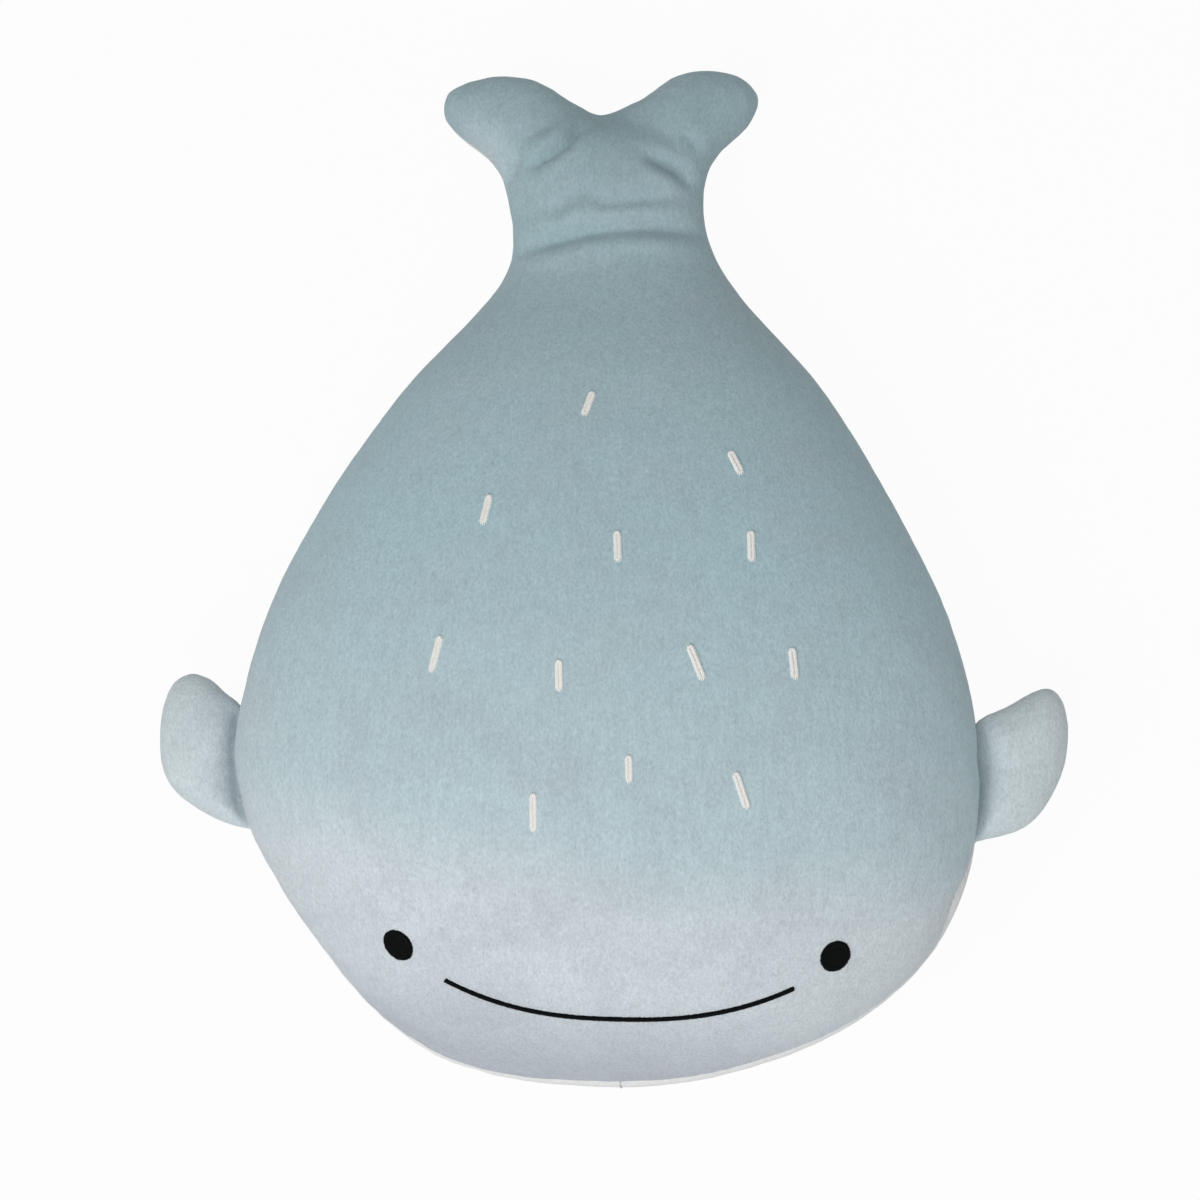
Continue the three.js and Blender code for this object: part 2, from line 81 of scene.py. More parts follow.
JOINTS = {joint["name"]: joint for joint in frame["joints"]}
TAIL_HINGE = Vector(JOINTS["tail_bend"]["pos_m"])
SEAM_DIRECTION = Vector(JOINTS["right_flipper_flap"]["axis"])
SEAM_SLOPE = SEAM_DIRECTION.z / SEAM_DIRECTION.y
FLIPPER_DROOP = math.radians(12)
FLIPPER_ROOTS = [Vector(JOINTS[f"{side}_flipper_flap"]["pos_m"]) for side in ("left", "right")]
SKIN = "dolphin_skin"

# How finely each form is drawn before its skin is made even, as rows and columns of a ball.
BODY_GRID, FLUKE_GRID, FLIPPER_GRID = (110, 120), (48, 72), (60, 110)

# The form of the body: its main sizes, then lines along it as (y, value).
BODY_LENGTH = 0.467
BODY_WIDTH = 0.333
NOSE = -BODY_LENGTH / 2
HEAD_REACH = 0.3 * BODY_LENGTH
WIDEST = NOSE + HEAD_REACH
BACK_RISE = 0.24 * BODY_WIDTH
WAIST_WIDTH = 0.267 * BODY_WIDTH
WAIST_RISE = 0.305 * WAIST_WIDTH
CHIN_TUCK = 0.012
HEAD_ROUNDNESS = 1.62
HEAD_BLUNTNESS = 0.40
BACK_ROUNDNESS = 2.05
BELLY_ROUNDNESS = 2.7
CHIN_ROUNDNESS = 2.2
STOCK_END = NOSE + 0.9535 * BODY_LENGTH
STOCK_ROUNDING = 0.29 * WAIST_WIDTH
HEAD_ROWS, STOCK_ROWS = 0.34, 0.92  # shares of the rows at which the head ends and the stock's end starts
TAIL_FROM = 0.128  # the cloth behind this has a finer mesh for its creases
SPINE = [
    (-0.2335, -0.0022), (-0.2041, 0.0048), (-0.1770, 0.0088), (-0.1530, 0.0070), (-0.1083, 0.0),
    (-0.0233, -0.0030), (0.0663, -0.0010), (0.1050, 0.0008), (0.1300, 0.0016), (0.1500, -0.0002),
    (0.1667, -0.0025), (0.2064, -0.0060),
]
FLANK = [
    (-0.0934, 0.1670), (-0.0346, 0.1580), (0.0205, 0.1332), (0.0766, 0.0991), (0.1195, 0.0619),
    (0.1400, 0.0488), (0.1600, 0.0450), (0.1800, 0.0466),
]
BELLY_LINE = [(-0.0035, -0.0005), (0.0864, 0.0050), (0.1284, 0.0141), (0.1625, 0.0210)]

# The side seam's hills over its plane as (rise, middle, reach), how it rolls in behind the right flipper
# and sinks at the back, and its ripple as (height, spots to the metre).
SEAM_HILLS = [(0.012, (0.150, -0.151), (0.026, 0.016)), (-0.0035, (0.130, -0.190), (0.030, 0.026))]
SEAM_ROLLS, SEAM_SINKS = 0.0075, 0.0015
SEAM_RIPPLE = (0.0006, 38)
BELLY_SEAM_ASIDE, BELLY_SEAM_STRAIGHTENS = 0.0080, 0.06

# The flukes from above: a middle, and how far it is to the edge every 20 degrees, from 60 degrees
# inwards of straight back, round the tip, to where the edge runs inside the stock.
FLUKE_FIRST, FLUKE_STEP = -60, 20
FLUKES = {
    "left": {
        "middle": (-0.0450, 0.2050),
        "reaches": (
            0.0304, 0.0278, 0.0276, 0.0282, 0.0306, 0.0340, 0.0398, 0.0350, 0.0240,
            0.0192, 0.0186, 0.0219, 0.0240, 0.0220, 0.0220, 0.0230, 0.0300, 0.0375,
        ),
    },
    "right": {
        "middle": (0.0340, 0.2050),
        "reaches": (
            0.0270, 0.0242, 0.0256, 0.0278, 0.0304, 0.0340, 0.0384, 0.0332, 0.0238,
            0.0199, 0.0199, 0.0260, 0.0240, 0.0220, 0.0220, 0.0230, 0.0295, 0.0370,
        ),
    },
}
FLUKE_THICKNESS = 0.0395
FLUKE_CROWN = 2.4

# The flippers' outlines from the front of the root round the tip, as (out, along), and their middle.
# The last points of each close it inside the body.
FLIPPER_OUTLINES = {
    "left": [
        (-0.0055, -0.0325), (0.0020, -0.0278), (0.0084, -0.0240), (0.0169, -0.0188), (0.0259, -0.0123),
        (0.0320, -0.0049), (0.0356, 0.0040), (0.0370, 0.0170), (0.0358, 0.0300), (0.0315, 0.0400),
        (0.0234, 0.0442), (0.0150, 0.0421), (0.0060, 0.0345), (-0.0055, 0.0262), (-0.0064, 0.0210),
        (-0.0062, 0.0000), (-0.0064, -0.0240),
    ],
    "right": [
        (-0.0055, -0.0335), (0.0000, -0.0298), (0.0034, -0.0282), (0.0139, -0.0247), (0.0222, -0.0181),
        (0.0306, -0.0057), (0.0352, 0.0060), (0.0370, 0.0200), (0.0364, 0.0315), (0.0330, 0.0385),
        (0.0280, 0.0408), (0.0205, 0.0382), (0.0095, 0.0314), (-0.0055, 0.0235), (-0.0064, 0.0190),
        (-0.0062, -0.0020), (-0.0064, -0.0260),
    ],
}
FLIPPER_MIDDLE = (0.0161, 0.0080)
FLIPPER_THICKNESS = 0.028
FLIPPER_CROWN = 2.2
FLIPPER_ROOT_RISE = 0.0034
FLIPPER_ROOT_INSIDE = 0.0008
FLIPPER_SWELL = 0.0080
FLIPPER_LEAVES_FLANK = 0.007
FLIPPER_CLOTH = 0.0012
FLIPPER_FILLING = (0.88, 0.88, 0.86)  # its size as shares of the skin's

# What the stuffing can't push out: cloth this near to a seam, or to the root of a flipper.
SIDE_SEAM_HOLDS, FLIPPER_SEAM_HOLDS, FLIPPER_ROOT_HOLDS = 0.0035, 0.0016, 0.001
UNDER_CLOTH = 0.0015  # between the cloth's inner face and the stuffing
SLIVER = 0.0003  # edges shorter than this go from the rim of a cut

# The colour of the back cloth along the toy, from 0 at the nose to 1 at the tail. It is partly the cloth's
# own colour
# and partly painted light: lighter towards the nose, where the light falls from the front, and darker towards
# the tail.
DYE_AND_LIGHT_STOPS = [
    (0.01, "chin"), (0.085, "face"), (0.16, "face"), (0.228, "shoulder"), (0.50, "back"), (0.74, "tail"),
]

# Where the pile is brushed: the noise at which its patches start and are full. Then spots, as (colour,
# middle, reach, share):
# pale ones are painted sheen on brushed pile, at the left fluke's lower edge and above the left flipper,
# and dark ones are painted shade between the flukes.
BRUSHED_STOPS = [(0.47, (0, 0, 0)), (0.68, (1, 1, 1))]
SHEEN_AND_SHADE_SPOTS = [
    # Painted sheen on brushed pile: a pale patch at the left fluke's lower edge, and one on the flank above
    # the left flipper.
    ("face", (-0.0600, 0.1880, 0.0520), 0.024, 0.75),
    ("face", (-0.1580, -0.0750, 0.0850), 0.042, 0.40),
    # Painted shade between the flukes.
    ("deep", (-0.0030, 0.1980, 0.0620), 0.040, 0.80),
    ("deep", (0.0420, 0.2080, 0.0600), 0.032, 0.60),
]

# Creases in the cloth as (depth, half width, points seen from above). The cloth that a crease draws in
# stands up in a bank on either side, whose height, place and width are shares of the crease's own.
CREASE_NEAR = 0.07
CREASE_FADES_OVER = 3.5
CREASE_AT_ENDS = 0.15
BANK_HEIGHT, BANK_PLACE, BANK_WIDTH = 0.32, 2.3, 1.2
BACK_CREASES = [
    (0.0044, 0.0033, [
        (-0.0108, 0.2062), (-0.0134, 0.2015), (-0.0194, 0.1936), (-0.0254, 0.1895), (-0.0309, 0.1863),
        (-0.0387, 0.1811),
    ]),
    (0.0026, 0.0030, [(-0.0413, 0.1896), (-0.0446, 0.1850), (-0.0469, 0.1808), (-0.0482, 0.1770)]),
    (0.0040, 0.0030, [
        (0.0168, 0.1871), (0.0227, 0.1842), (0.0282, 0.1817), (0.0333, 0.1788), (0.0383, 0.1740),
    ]),
    (0.0024, 0.0042, [
        (-0.0070, 0.1627), (-0.0006, 0.1635), (0.0054, 0.1638), (0.0195, 0.1654), (0.0295, 0.1677),
    ]),
    (0.0018, 0.0044, [
        (-0.0271, 0.1562), (-0.0226, 0.1603), (-0.0179, 0.1654), (-0.0123, 0.1694), (-0.0060, 0.1722),
    ]),
    (0.0042, 0.0040, [
        (-0.0430, 0.1440), (-0.0332, 0.1462), (-0.0222, 0.1480), (-0.0090, 0.1506), (0.0065, 0.1520),
        (0.0197, 0.1529), (0.0343, 0.1524), (0.0450, 0.1512),
    ]),
    (0.0016, 0.0026, [(0.0327, 0.1995), (0.0378, 0.1956), (0.0424, 0.1908)]),
    (0.0012, 0.0050, [
        (-0.1501, -0.1290), (-0.1443, -0.1343), (-0.1384, -0.1391), (-0.1330, -0.1413), (-0.1277, -0.1396),
        (-0.1172, -0.1278),
    ]),
]
BELLY_CREASES = [
    (0.0024, 0.0042, [
        (-0.0400, 0.1400), (-0.0200, 0.1480), (0.0, 0.1510), (0.0200, 0.1480), (0.0380, 0.1400),
    ]),
    (0.0020, 0.0032, [(-0.0380, 0.1770), (-0.0250, 0.1860), (-0.0150, 0.1980)]),
    (0.0020, 0.0032, [(0.0300, 0.1770), (0.0180, 0.1860), (0.0080, 0.1980)]),
]

# Embroidery seen from above: middle (x, y), then sizes and turns.
EYES = {
    "left_eye": {"middle": (-0.0862, -0.1717), "turn": math.radians(-41), "stretch": 1.03},
    "right_eye": {"middle": (0.1013, -0.1765), "turn": math.radians(47), "stretch": 0.98},
}
SMILE_MIDDLE = (0.0085, -0.2031)
SMILE_TURN = math.radians(-1.35)
SMILE_ROUNDNESS = 2.45
SMILE_STEPS = 30
EYE_BORDER = 0.0024
SEAM_STITCH, SEAM_THREAD = 0.0034, 0.0007
# Back stitches as (x, y, length, turn in degrees).
BACK_STITCHES = [
    (-0.0045, 0.0640, 0.0120, -18),
    (0.0600, 0.0365, 0.0120, 26),
    (-0.0480, 0.0160, 0.0140, -11),
    (0.0100, -0.0020, 0.0140, 3),
    (0.0670, -0.0015, 0.0140, 2),
    (-0.0680, -0.0480, 0.0165, -13),
    (-0.0140, -0.0585, 0.0140, 2),
    (0.0440, -0.0530, 0.0165, 22),
    (0.0850, -0.0530, 0.0140, 6),
    (0.0160, -0.0985, 0.0120, 2),
    (-0.0245, -0.1165, 0.0165, 0),
    (0.0630, -0.1075, 0.0165, 18),
]

# The stage: lamps as (name, place, size, setting with its power), and the camera as the photo has it.
LAMPS = [
    ("key_lamp", (-0.68, -1.12, 1.95), 1.3, "key_power"),
    ("fill_lamp", (1.3, -1.1, 1.5), 1.6, "fill_power"),
]
LAMPS_AIM = Vector((0, 0, 0.05))
FLOOR_SIZE, FLOOR_LEVEL, FLOOR_SHINE = 6, -0.0004, 0.95
CAMERA_SIDE = Vector((0.09, -0.13, 1.0))
CAMERA_AIM = Vector((0.0017, -0.0065, 0.065))
PICTURE_WIDTH, SENSOR_WIDTH, FAR_END = 0.54, 36, 50
PICTURE_PIXELS, PICTURE_SHIFT = 1200, (-12, -23.5)
WHITE = (1, 1, 1, 1)


def amount(name, description, default, low, high, unit="NONE"):
    return FloatProperty(name=name, description=description, default=default, min=low, max=high, unit=unit)


def metres(name, description, default, low, high):
    return amount(name, description, default, low, high, "LENGTH")


def tint(name, description, default):
    return FloatVectorProperty(
        name=name, description=description, subtype="COLOR", size=3, min=0, max=1, default=default
    )


class DolphinClothSettings(bpy.types.PropertyGroup):
    body_spacing: metres(
        "Body mesh spacing", "Mesh size of the body's skin before it is smoothed", 0.0045, 0.003, 0.01
    )
    flipper_spacing: metres(
        "Flipper mesh spacing", "Mesh size of a flipper's skin before it is smoothed", 0.002, 0.001, 0.005
    )
    pressure: amount("Stuffing pressure", "How hard the stuffing pushes the cloth out", 4.0, 0.0, 20.0)
    frames: IntProperty(
        name="Filling steps", description="Steps of the simulation that fills the toy",
        default=20, min=1, max=60,
    )
    swell: metres("Swell", "The furthest that the stuffing may push the cloth", 0.004, 0.0, 0.01)
    thickness: metres("Cloth thickness", "Thickness of the velour with its pile", 0.002, 0.0005, 0.004)
    groove: metres("Seam groove", "How deep the seams draw the cloth in", 0.0018, 0.0, 0.005)
    pucker: metres("Seam pucker", "Depth of the small gathers beside the side seam", 0.0003, 0.0, 0.003)


class DolphinThreadSettings(bpy.types.PropertyGroup):
    strand: metres("Strand thickness", "Thickness of one strand of embroidery thread", 0.00064, 0.0002, 0.002)
    spacing: metres("Strand spacing", "Distance between strands side by side", 0.00052, 0.0002, 0.002)
    arch: metres("Satin height", "How far a satin stitch's middle stands over the cloth", 0.0007, 0.0, 0.002)
    eye_length: metres("Eye length", "Long side of an embroidered eye", 0.0145, 0.005, 0.03)
    eye_width: metres("Eye width", "Short side of an embroidered eye", 0.0113, 0.005, 0.03)
    smile_width: metres("Smile width", "Distance between the corners of the mouth", 0.1490, 0.05, 0.25)
    smile_sag: metres("Smile sag", "How far the mouth's middle lies under its corners", 0.0147, 0.0, 0.05)
    smile_line: metres("Smile line width", "Width of the embroidered line of the mouth", 0.0017, 0.001, 0.006)
    stitch_width: metres("Back stitch width", "Width of the marks on the back", 0.0031, 0.001, 0.008)


class DolphinColourSettings(bpy.types.PropertyGroup):
    # From the chin to the tail these colours hold painted light as well as the cloth's own colour: lighter at
    # the face, darker at the tail.
    chin: tint("Chin", "Velour at the very front, over the side seam", (0.470, 0.510, 0.560))
    face: tint("Face", "Velour at the nose and cheeks", (0.618, 0.680, 0.718))
    shoulder: tint("Shoulders", "Velour between the eyes and the flippers", (0.508, 0.632, 0.670))
    back: tint("Back", "Velour in the middle of the back", (0.418, 0.580, 0.626))
    tail: tint("Tail", "Velour of the tail", (0.365, 0.500, 0.535))
    # Painted shade: the darker colour laid between the flukes.
    deep: tint("Deep", "Velour between the flukes", (0.270, 0.385, 0.415))
    flipper: tint("Flippers", "Velour of the flippers", (0.620, 0.700, 0.730))
    brushed: tint("Brushed pile", "Tint where the pile lies the other way", (0.440, 0.478, 0.540))
    belly: tint("Belly", "White velour of the belly", (0.840, 0.845, 0.840))
    black: tint("Black thread", "Thread of the eyes and the smile", (0.004, 0.0045, 0.005))
    white: tint("White thread", "Thread of the back stitches", (0.970, 0.965, 0.940))
    seam: tint("Seam thread", "Sewing thread in the seams", (0.500, 0.560, 0.590))
    fibre: tint("Stuffing", "Polyester fibre filling", (0.850, 0.850, 0.830))


class DolphinStageSettings(bpy.types.PropertyGroup):
    camera_distance: metres("Camera distance", "From the camera to the middle of the toy", 1.4, 0.5, 5.0)
    key_power: amount("Key lamp", "Power of the soft lamp beside the face", 24.0, 0.0, 200.0, "POWER")
    fill_power: amount("Fill lamp", "Power of the soft lamp on the other side", 2.0, 0.0, 200.0, "POWER")
    ambient: amount("Room light", "Strength of the even light from all round", 0.5, 0.0, 2.0)


# ---------------------------------------------------------------- materials


class Strand:
    """A socket of a shader. Sums, differences and products of strands add Math nodes."""

    def __init__(self, finish, socket):
        self.finish = finish
        self.socket = socket

    def maths(self, operation, *values):
        return self.finish.node("ShaderNodeMath", {"operation": operation}, dict(enumerate(values)))

    def __add__(self, other):
        return self.maths("ADD", self, other)

    def __sub__(self, other):
        return self.maths("SUBTRACT", self, other)

    def __rsub__(self, other):
        return self.maths("SUBTRACT", other, self)

    def __mul__(self, other):
        return self.maths("MULTIPLY", self, other)

    __radd__ = __add__
    __rmul__ = __mul__


class Finish:
    """The nodes of a new material, or of a world."""

    def __init__(self, owner):
        self.owner = owner
        owner.use_nodes = True
        self.tree = owner.node_tree
        self.tree.nodes.clear()

    def node(self, kind, settings=None, inputs=None, output=0):
        """Adds a node, sets it up, and returns its output as a strand, where it has one."""
        made = self.tree.nodes.new(kind)
        for name, value in (settings or {}).items():
            if name == "stops":
                self.set_stops(made.color_ramp, value)
            else:
                setattr(made, name, value)
        sockets = {socket.identifier: socket for socket in made.inputs}
        for name, value in (inputs or {}).items():
            socket = made.inputs[name] if isinstance(name, int) else sockets.get(name) or made.inputs[name]
            if isinstance(value, Strand):
                self.tree.links.new(value.socket, socket)
            else:
                socket.default_value = value
        if not made.outputs:
            return None
        outputs = {socket.identifier: socket for socket in made.outputs}
        found = made.outputs[output] if isinstance(output, int) else outputs[output]
        return Strand(self, found)

    @staticmethod
    def set_stops(ramp, stops):
        while len(ramp.elements) < len(stops):
            ramp.elements.new(1)
        for element, (place, colour) in zip(ramp.elements, stops):
            element.position = place
            element.color = (*colour, 1)

    def mixed(self, share, first, second, blend="MIX"):
        """Two colours mixed by a share."""
        return self.node(
            "ShaderNodeMix",
            {"data_type": "RGBA", "blend_type": blend},
            {"Factor_Float": share, "A_Color": first, "B_Color": second},
            "Result_Color",
        )

    def toned(self, base_colour, tone):
        """A colour darkened by a tone from 0 to 1."""
        grey = self.node("ShaderNodeCombineColor", {}, {0: tone, 1: tone, 2: tone})
        return self.mixed(1.0, base_colour, grey, "MULTIPLY")

    def place(self):
        """Where a point is on the toy."""
        return self.node("ShaderNodeTexCoord", output="Object")

    def stretched(self, place, scale, turn=(0, 0, 0)):
        """A place with its directions scaled, so that a pattern on it is drawn out."""
        return self.node("ShaderNodeMapping", {}, {"Vector": place, "Scale": scale, "Rotation": turn})

    def mottle(self, place, scale, detail=2, roughness=0.5, distortion=0.0):
        """Soft noise from 0 to 1, with that many spots to the metre."""
        return self.node(
            "ShaderNodeTexNoise",
            {},
            {
                "Vector": place,
                "Scale": scale,
                "Detail": detail,
                "Roughness": roughness,
                "Distortion": distortion,
            },
        )

    def spot(self, place, middle, reach):
        """A share that falls from 1 at a middle to 0 at its reach."""
        shrunk = self.node(
            "ShaderNodeMapping",
            {},
            {"Vector": place, "Location": [-at / reach for at in middle], "Scale": [1 / reach] * 3},
        )
        return self.node("ShaderNodeTexGradient", {"gradient_type": "SPHERICAL"}, {"Vector": shrunk}, "Fac")

    def bump(self, height, distance, strength, normal=None):
        inputs = {"Height": height, "Distance": distance, "Strength": strength}
        if normal is not None:
            inputs["Normal"] = normal
        return self.node("ShaderNodeBump", {}, inputs)

    def surface(self, **inputs):
        """Ends the material in one Principled shader."""
        named = {name.replace("_", " "): value for name, value in inputs.items()}
        shader = self.node("ShaderNodeBsdfPrincipled", {}, named)
        self.node("ShaderNodeOutputMaterial", {}, {"Surface": shader})
        return self.owner


def material_finish(name):
    return Finish(bpy.data.materials.new(name))


def opaque(colour):
    return (*colour, 1)


def nap(finish, place):
    """The relief of the short pile: fine tufts drawn out along the toy over soft pressed patches."""
    tufts = finish.mottle(finish.stretched(place, (1, 0.5, 1)), 950, detail=3, roughness=0.75)
    pressed = finish.mottle(place, 160, detail=3, roughness=0.6)
    soft = finish.bump(pressed, 0.0006, 0.35)
    return finish.bump(tufts, 0.0007, 0.6, soft), tufts, pressed


def velour_over_back(colours, stops):
    """Blue-grey velour with brushed patches. Its colour changes along the toy, as (share, colour) stops, and
    on the back cloth painted light is laid into it: lighter to the left and darker to the right, paler
    towards both flanks as painted sheen, and spots of painted sheen and painted shade.
    """
    finish = material_finish("blue_grey_velour")
    place = finish.place()
    along = finish.node("ShaderNodeSeparateXYZ", {}, {"Vector": place}, "Y")
    low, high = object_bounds()
    across = finish.node("ShaderNodeSeparateXYZ", {}, {"Vector": place}, "X")
    drift = finish.mottle(place, 9, detail=1)
    share = (along - low[1]) * (1 / (high[1] - low[1]))
    # Painted light across the toy: the left side lighter and the right darker, as the light falls from the
    # left, which also slants the border between the colours; and paler towards both flanks, painted sheen of
    # the velour at grazing angles. The drift is random.
    share = share + across * (0.25 - across * 1.6) + (drift - 0.5) * 0.08
    base_colour = finish.node("ShaderNodeValToRGB", {"stops": stops}, {"Fac": share})
    patches = finish.mottle(place, 26, detail=4, roughness=0.6, distortion=0.6)
    brushed = finish.node("ShaderNodeValToRGB", {"stops": BRUSHED_STOPS}, {"Fac": patches})
    base_colour = finish.mixed(brushed * 0.30, base_colour, opaque(colours.brushed))
    # Lays the spots on: painted sheen on brushed pile, and painted shade between the flukes.
    for colour, middle, reach, share in SHEEN_AND_SHADE_SPOTS:
        base_colour = finish.mixed(finish.spot(place, middle, reach) * share, base_colour, opaque(getattr(colours, colour)))
    relief, tufts, pressed = nap(finish, place)
    streaks = finish.mottle(finish.stretched(place, (1, 0.12, 1)), 420, detail=2)
    tone = 0.50 + tufts * 0.70 + pressed * 0.14 + streaks * 0.16
    return finish.surface(
        Base_Color=finish.toned(base_colour, tone),
        Roughness=0.78 + tufts * 0.16,
        Normal=relief,
        Specular_IOR_Level=0.25,
        Sheen_Weight=0.22,
        Sheen_Roughness=0.42,
        Sheen_Tint=(0.90, 0.94, 1.0, 1),
    )


def velour_over_belly(colours):
    """White velour."""
    finish = material_finish("white_velour")
    place = finish.place()
    relief, tufts, pressed = nap(finish, place)
    tone = 0.72 + tufts * 0.40 + pressed * 0.12
    return finish.surface(
        Base_Color=finish.toned(opaque(colours.belly), tone),
        Roughness=0.78 + tufts * 0.16,
        Normal=relief,
        Specular_IOR_Level=0.25,
        Sheen_Weight=0.25,
        Sheen_Roughness=0.45,
    )


def thread_finish(name, colour, sheen, shine):
    """Twisted thread: fine slanting plies and a soft shine."""
    finish = material_finish(name)
    place = finish.place()
    plies = finish.node(
        "ShaderNodeTexWave",
        {"bands_direction": "DIAGONAL"},
        {"Vector": place, "Scale": 900, "Distortion": 2.5, "Detail": 2},
    )
    fuzz = finish.mottle(place, 2600, detail=2)
    tone = 0.80 + plies * 0.20 + fuzz * 0.12
    return finish.surface(
        Base_Color=finish.toned(opaque(colour), tone),
        Roughness=0.46 + fuzz * 0.2,
        Normal=finish.bump(plies * 0.6 + fuzz * 0.4, 0.0002, 0.5),
        Specular_IOR_Level=shine,
        Sheen_Weight=sheen,
        Sheen_Roughness=0.4,
    )


def fibre_finish(colours):
    """Loose white polyester fibre."""
    finish = material_finish("fibre_stuffing")
    place = finish.place()
    clumps = finish.mottle(place, 90, detail=6, roughness=0.75, distortion=1.2)
    wisps = finish.mottle(finish.stretched(place, (1, 0.3, 1), (0.4, 0.7, 0.2)), 700, detail=4, roughness=0.8)
    tone = 0.72 + clumps * 0.22 + wisps * 0.12
    return finish.surface(
        Base_Color=finish.toned(opaque(colours.fibre), tone),
        Roughness=0.9 + wisps * 0.1,
        Normal=finish.bump(clumps * 0.7 + wisps * 0.3, 0.003, 0.8),
        Sheen_Weight=0.3,
        Sheen_Roughness=0.6,
    )


def finish_named(name):
    """A material by name, made the first time that it is asked for."""
    colours = bpy.context.scene.dolphin_colours
    over_body = [(place, getattr(colours, base_colour)) for place, base_colour in DYE_AND_LIGHT_STOPS]
    over_flippers = [(0.2, colours.flipper), (0.5, colours.flipper)]
    makers = {
        "blue_grey_velour": lambda: velour_over_back(colours, over_body),
        "flipper_velour": lambda: velour_over_back(colours, over_flippers),
        "white_velour": lambda: velour_over_belly(colours),
        "fibre_stuffing": lambda: fibre_finish(colours),
        "black_thread": lambda: thread_finish("black_thread", colours.black, sheen=0.0, shine=0.06),
        "white_thread": lambda: thread_finish("white_thread", colours.white, sheen=0.3, shine=0.4),
        "seam_thread": lambda: thread_finish("seam_thread", colours.seam, sheen=0.2, shine=0.4),
    }
    key = "dressed_" + name
    found = bpy.data.materials.get(key)
    if found is None:
        found = makers[name]()
        found.name = key
    return found


# ---------------------------------------------------------------- shapes


def smooth_line(pairs):
    """A smooth curve through (place, value) pairs, level beyond its ends."""
    slopes = [0.0]
    for before, after in zip(pairs, pairs[2:]):
        slopes.append((after[1] - before[1]) / (after[0] - before[0]))
    slopes.append(0.0)

    def value(place):
        if place <= pairs[0][0]:
            return pairs[0][1]
        if place >= pairs[-1][0]:
            return pairs[-1][1]
        i = max(k for k, pair in enumerate(pairs) if pair[0] <= place)
        span = pairs[i + 1][0] - pairs[i][0]
        rise = pairs[i + 1][1] - pairs[i][1]
        share = (place - pairs[i][0]) / span
        bend = (slopes[i] * span - rise) * (1 - share) + (rise - slopes[i + 1] * span) * share
        return pairs[i][1] + share * rise + share * (1 - share) * bend

    return value


spine = smooth_line(SPINE)
flank = smooth_line(FLANK)
belly_line = smooth_line(BELLY_LINE)


def seam_plane(y):
    return TAIL_HINGE.z + (y - TAIL_HINGE.y) * SEAM_SLOPE


def widest_line(y):
    return seam_plane(y) - CHIN_TUCK * (max(0.0, WIDEST - y) / HEAD_REACH) ** 2


def eased(value):
    value = min(max(value, 0.0), 1.0)
    return value * value * (3 - 2 * value)


def seam_height(x, y):
    """Height of the side seam, which follows a tilted plane and wanders off it a little."""
    hills = 0.0
    for rise, middle, reach in SEAM_HILLS:
        hills += rise * math.exp(-(((x - middle[0]) / reach[0]) ** 2) - ((y - middle[1]) / reach[1]) ** 2)
    at_back = eased((y + 0.045) / 0.04)
    rolled = SEAM_ROLLS * eased((x - 0.02) / 0.03) * at_back
    ripple = SEAM_RIPPLE[0] * noise.noise(Vector((x, y, 0.3)) * SEAM_RIPPLE[1])
    return seam_plane(y) + hills - rolled - SEAM_SINKS * at_back + ripple


def closing(y, power, bluntness=None):
    """How far the body has closed at y, from 1 in its middle to 0 at the nose and the stock's end."""
    head = min(1.0, max(0.0, (WIDEST - y) / HEAD_REACH))
    tail = min(1.0, max(0.0, (y - STOCK_END + STOCK_ROUNDING) / STOCK_ROUNDING))
    return (1 - head**power) ** (bluntness or 1 / power) * math.sqrt(1 - tail**2)


def body_place(y, angle):
    """A point of the body's cross-section at y. Angle 0 is its right side and a quarter turn its back."""
    full = flank(y)
    across_half = full * closing(y, HEAD_ROUNDNESS, HEAD_BLUNTNESS)
    narrow, wide = WAIST_RISE / (WAIST_WIDTH / 2), BACK_RISE / (BODY_WIDTH / 2)
    fullness = (full - WAIST_WIDTH / 2) / (BODY_WIDTH / 2 - WAIST_WIDTH / 2)
    rise = full * (narrow + (wide - narrow) * fullness) * closing(y, 2)
    drop = (widest_line(y) - belly_line(y)) * closing(y, CHIN_ROUNDNESS)
    across, up = math.cos(angle), math.sin(angle)
    power = 2 / (BACK_ROUNDNESS if up >= 0 else BELLY_ROUNDNESS)
    x = math.copysign(abs(across) ** power, across) * across_half
    z = abs(up) ** power * (rise if up >= 0 else -drop)
    return Vector((spine(y) + x, y, widest_line(y) + z))


def body_row(share):
    """Where along the body the row of a ball goes that lies at this share of the way round it."""
    rounding_from = STOCK_END - STOCK_ROUNDING
    if share < HEAD_ROWS:
        return WIDEST - HEAD_REACH * math.cos(share / HEAD_ROWS * math.pi / 2)
    if share < STOCK_ROWS:
        return WIDEST + (rounding_from - WIDEST) * (share - HEAD_ROWS) / (STOCK_ROWS - HEAD_ROWS)
    return rounding_from + STOCK_ROUNDING * math.sin((share - STOCK_ROWS) / (1 - STOCK_ROWS) * math.pi / 2)


def ball_to_form(shape, grid, place):
    """Adds a ball and moves each point to place(share from pole to pole, angle round)."""
    rows, columns = grid
    ball = bmesh.ops.create_uvsphere(shape, u_segments=columns, v_segments=rows, radius=1)
    for v in ball["verts"]:
        share = math.acos(min(1.0, max(-1.0, v.co.z))) / math.pi
        v.co = place(share, math.atan2(v.co.y, v.co.x))


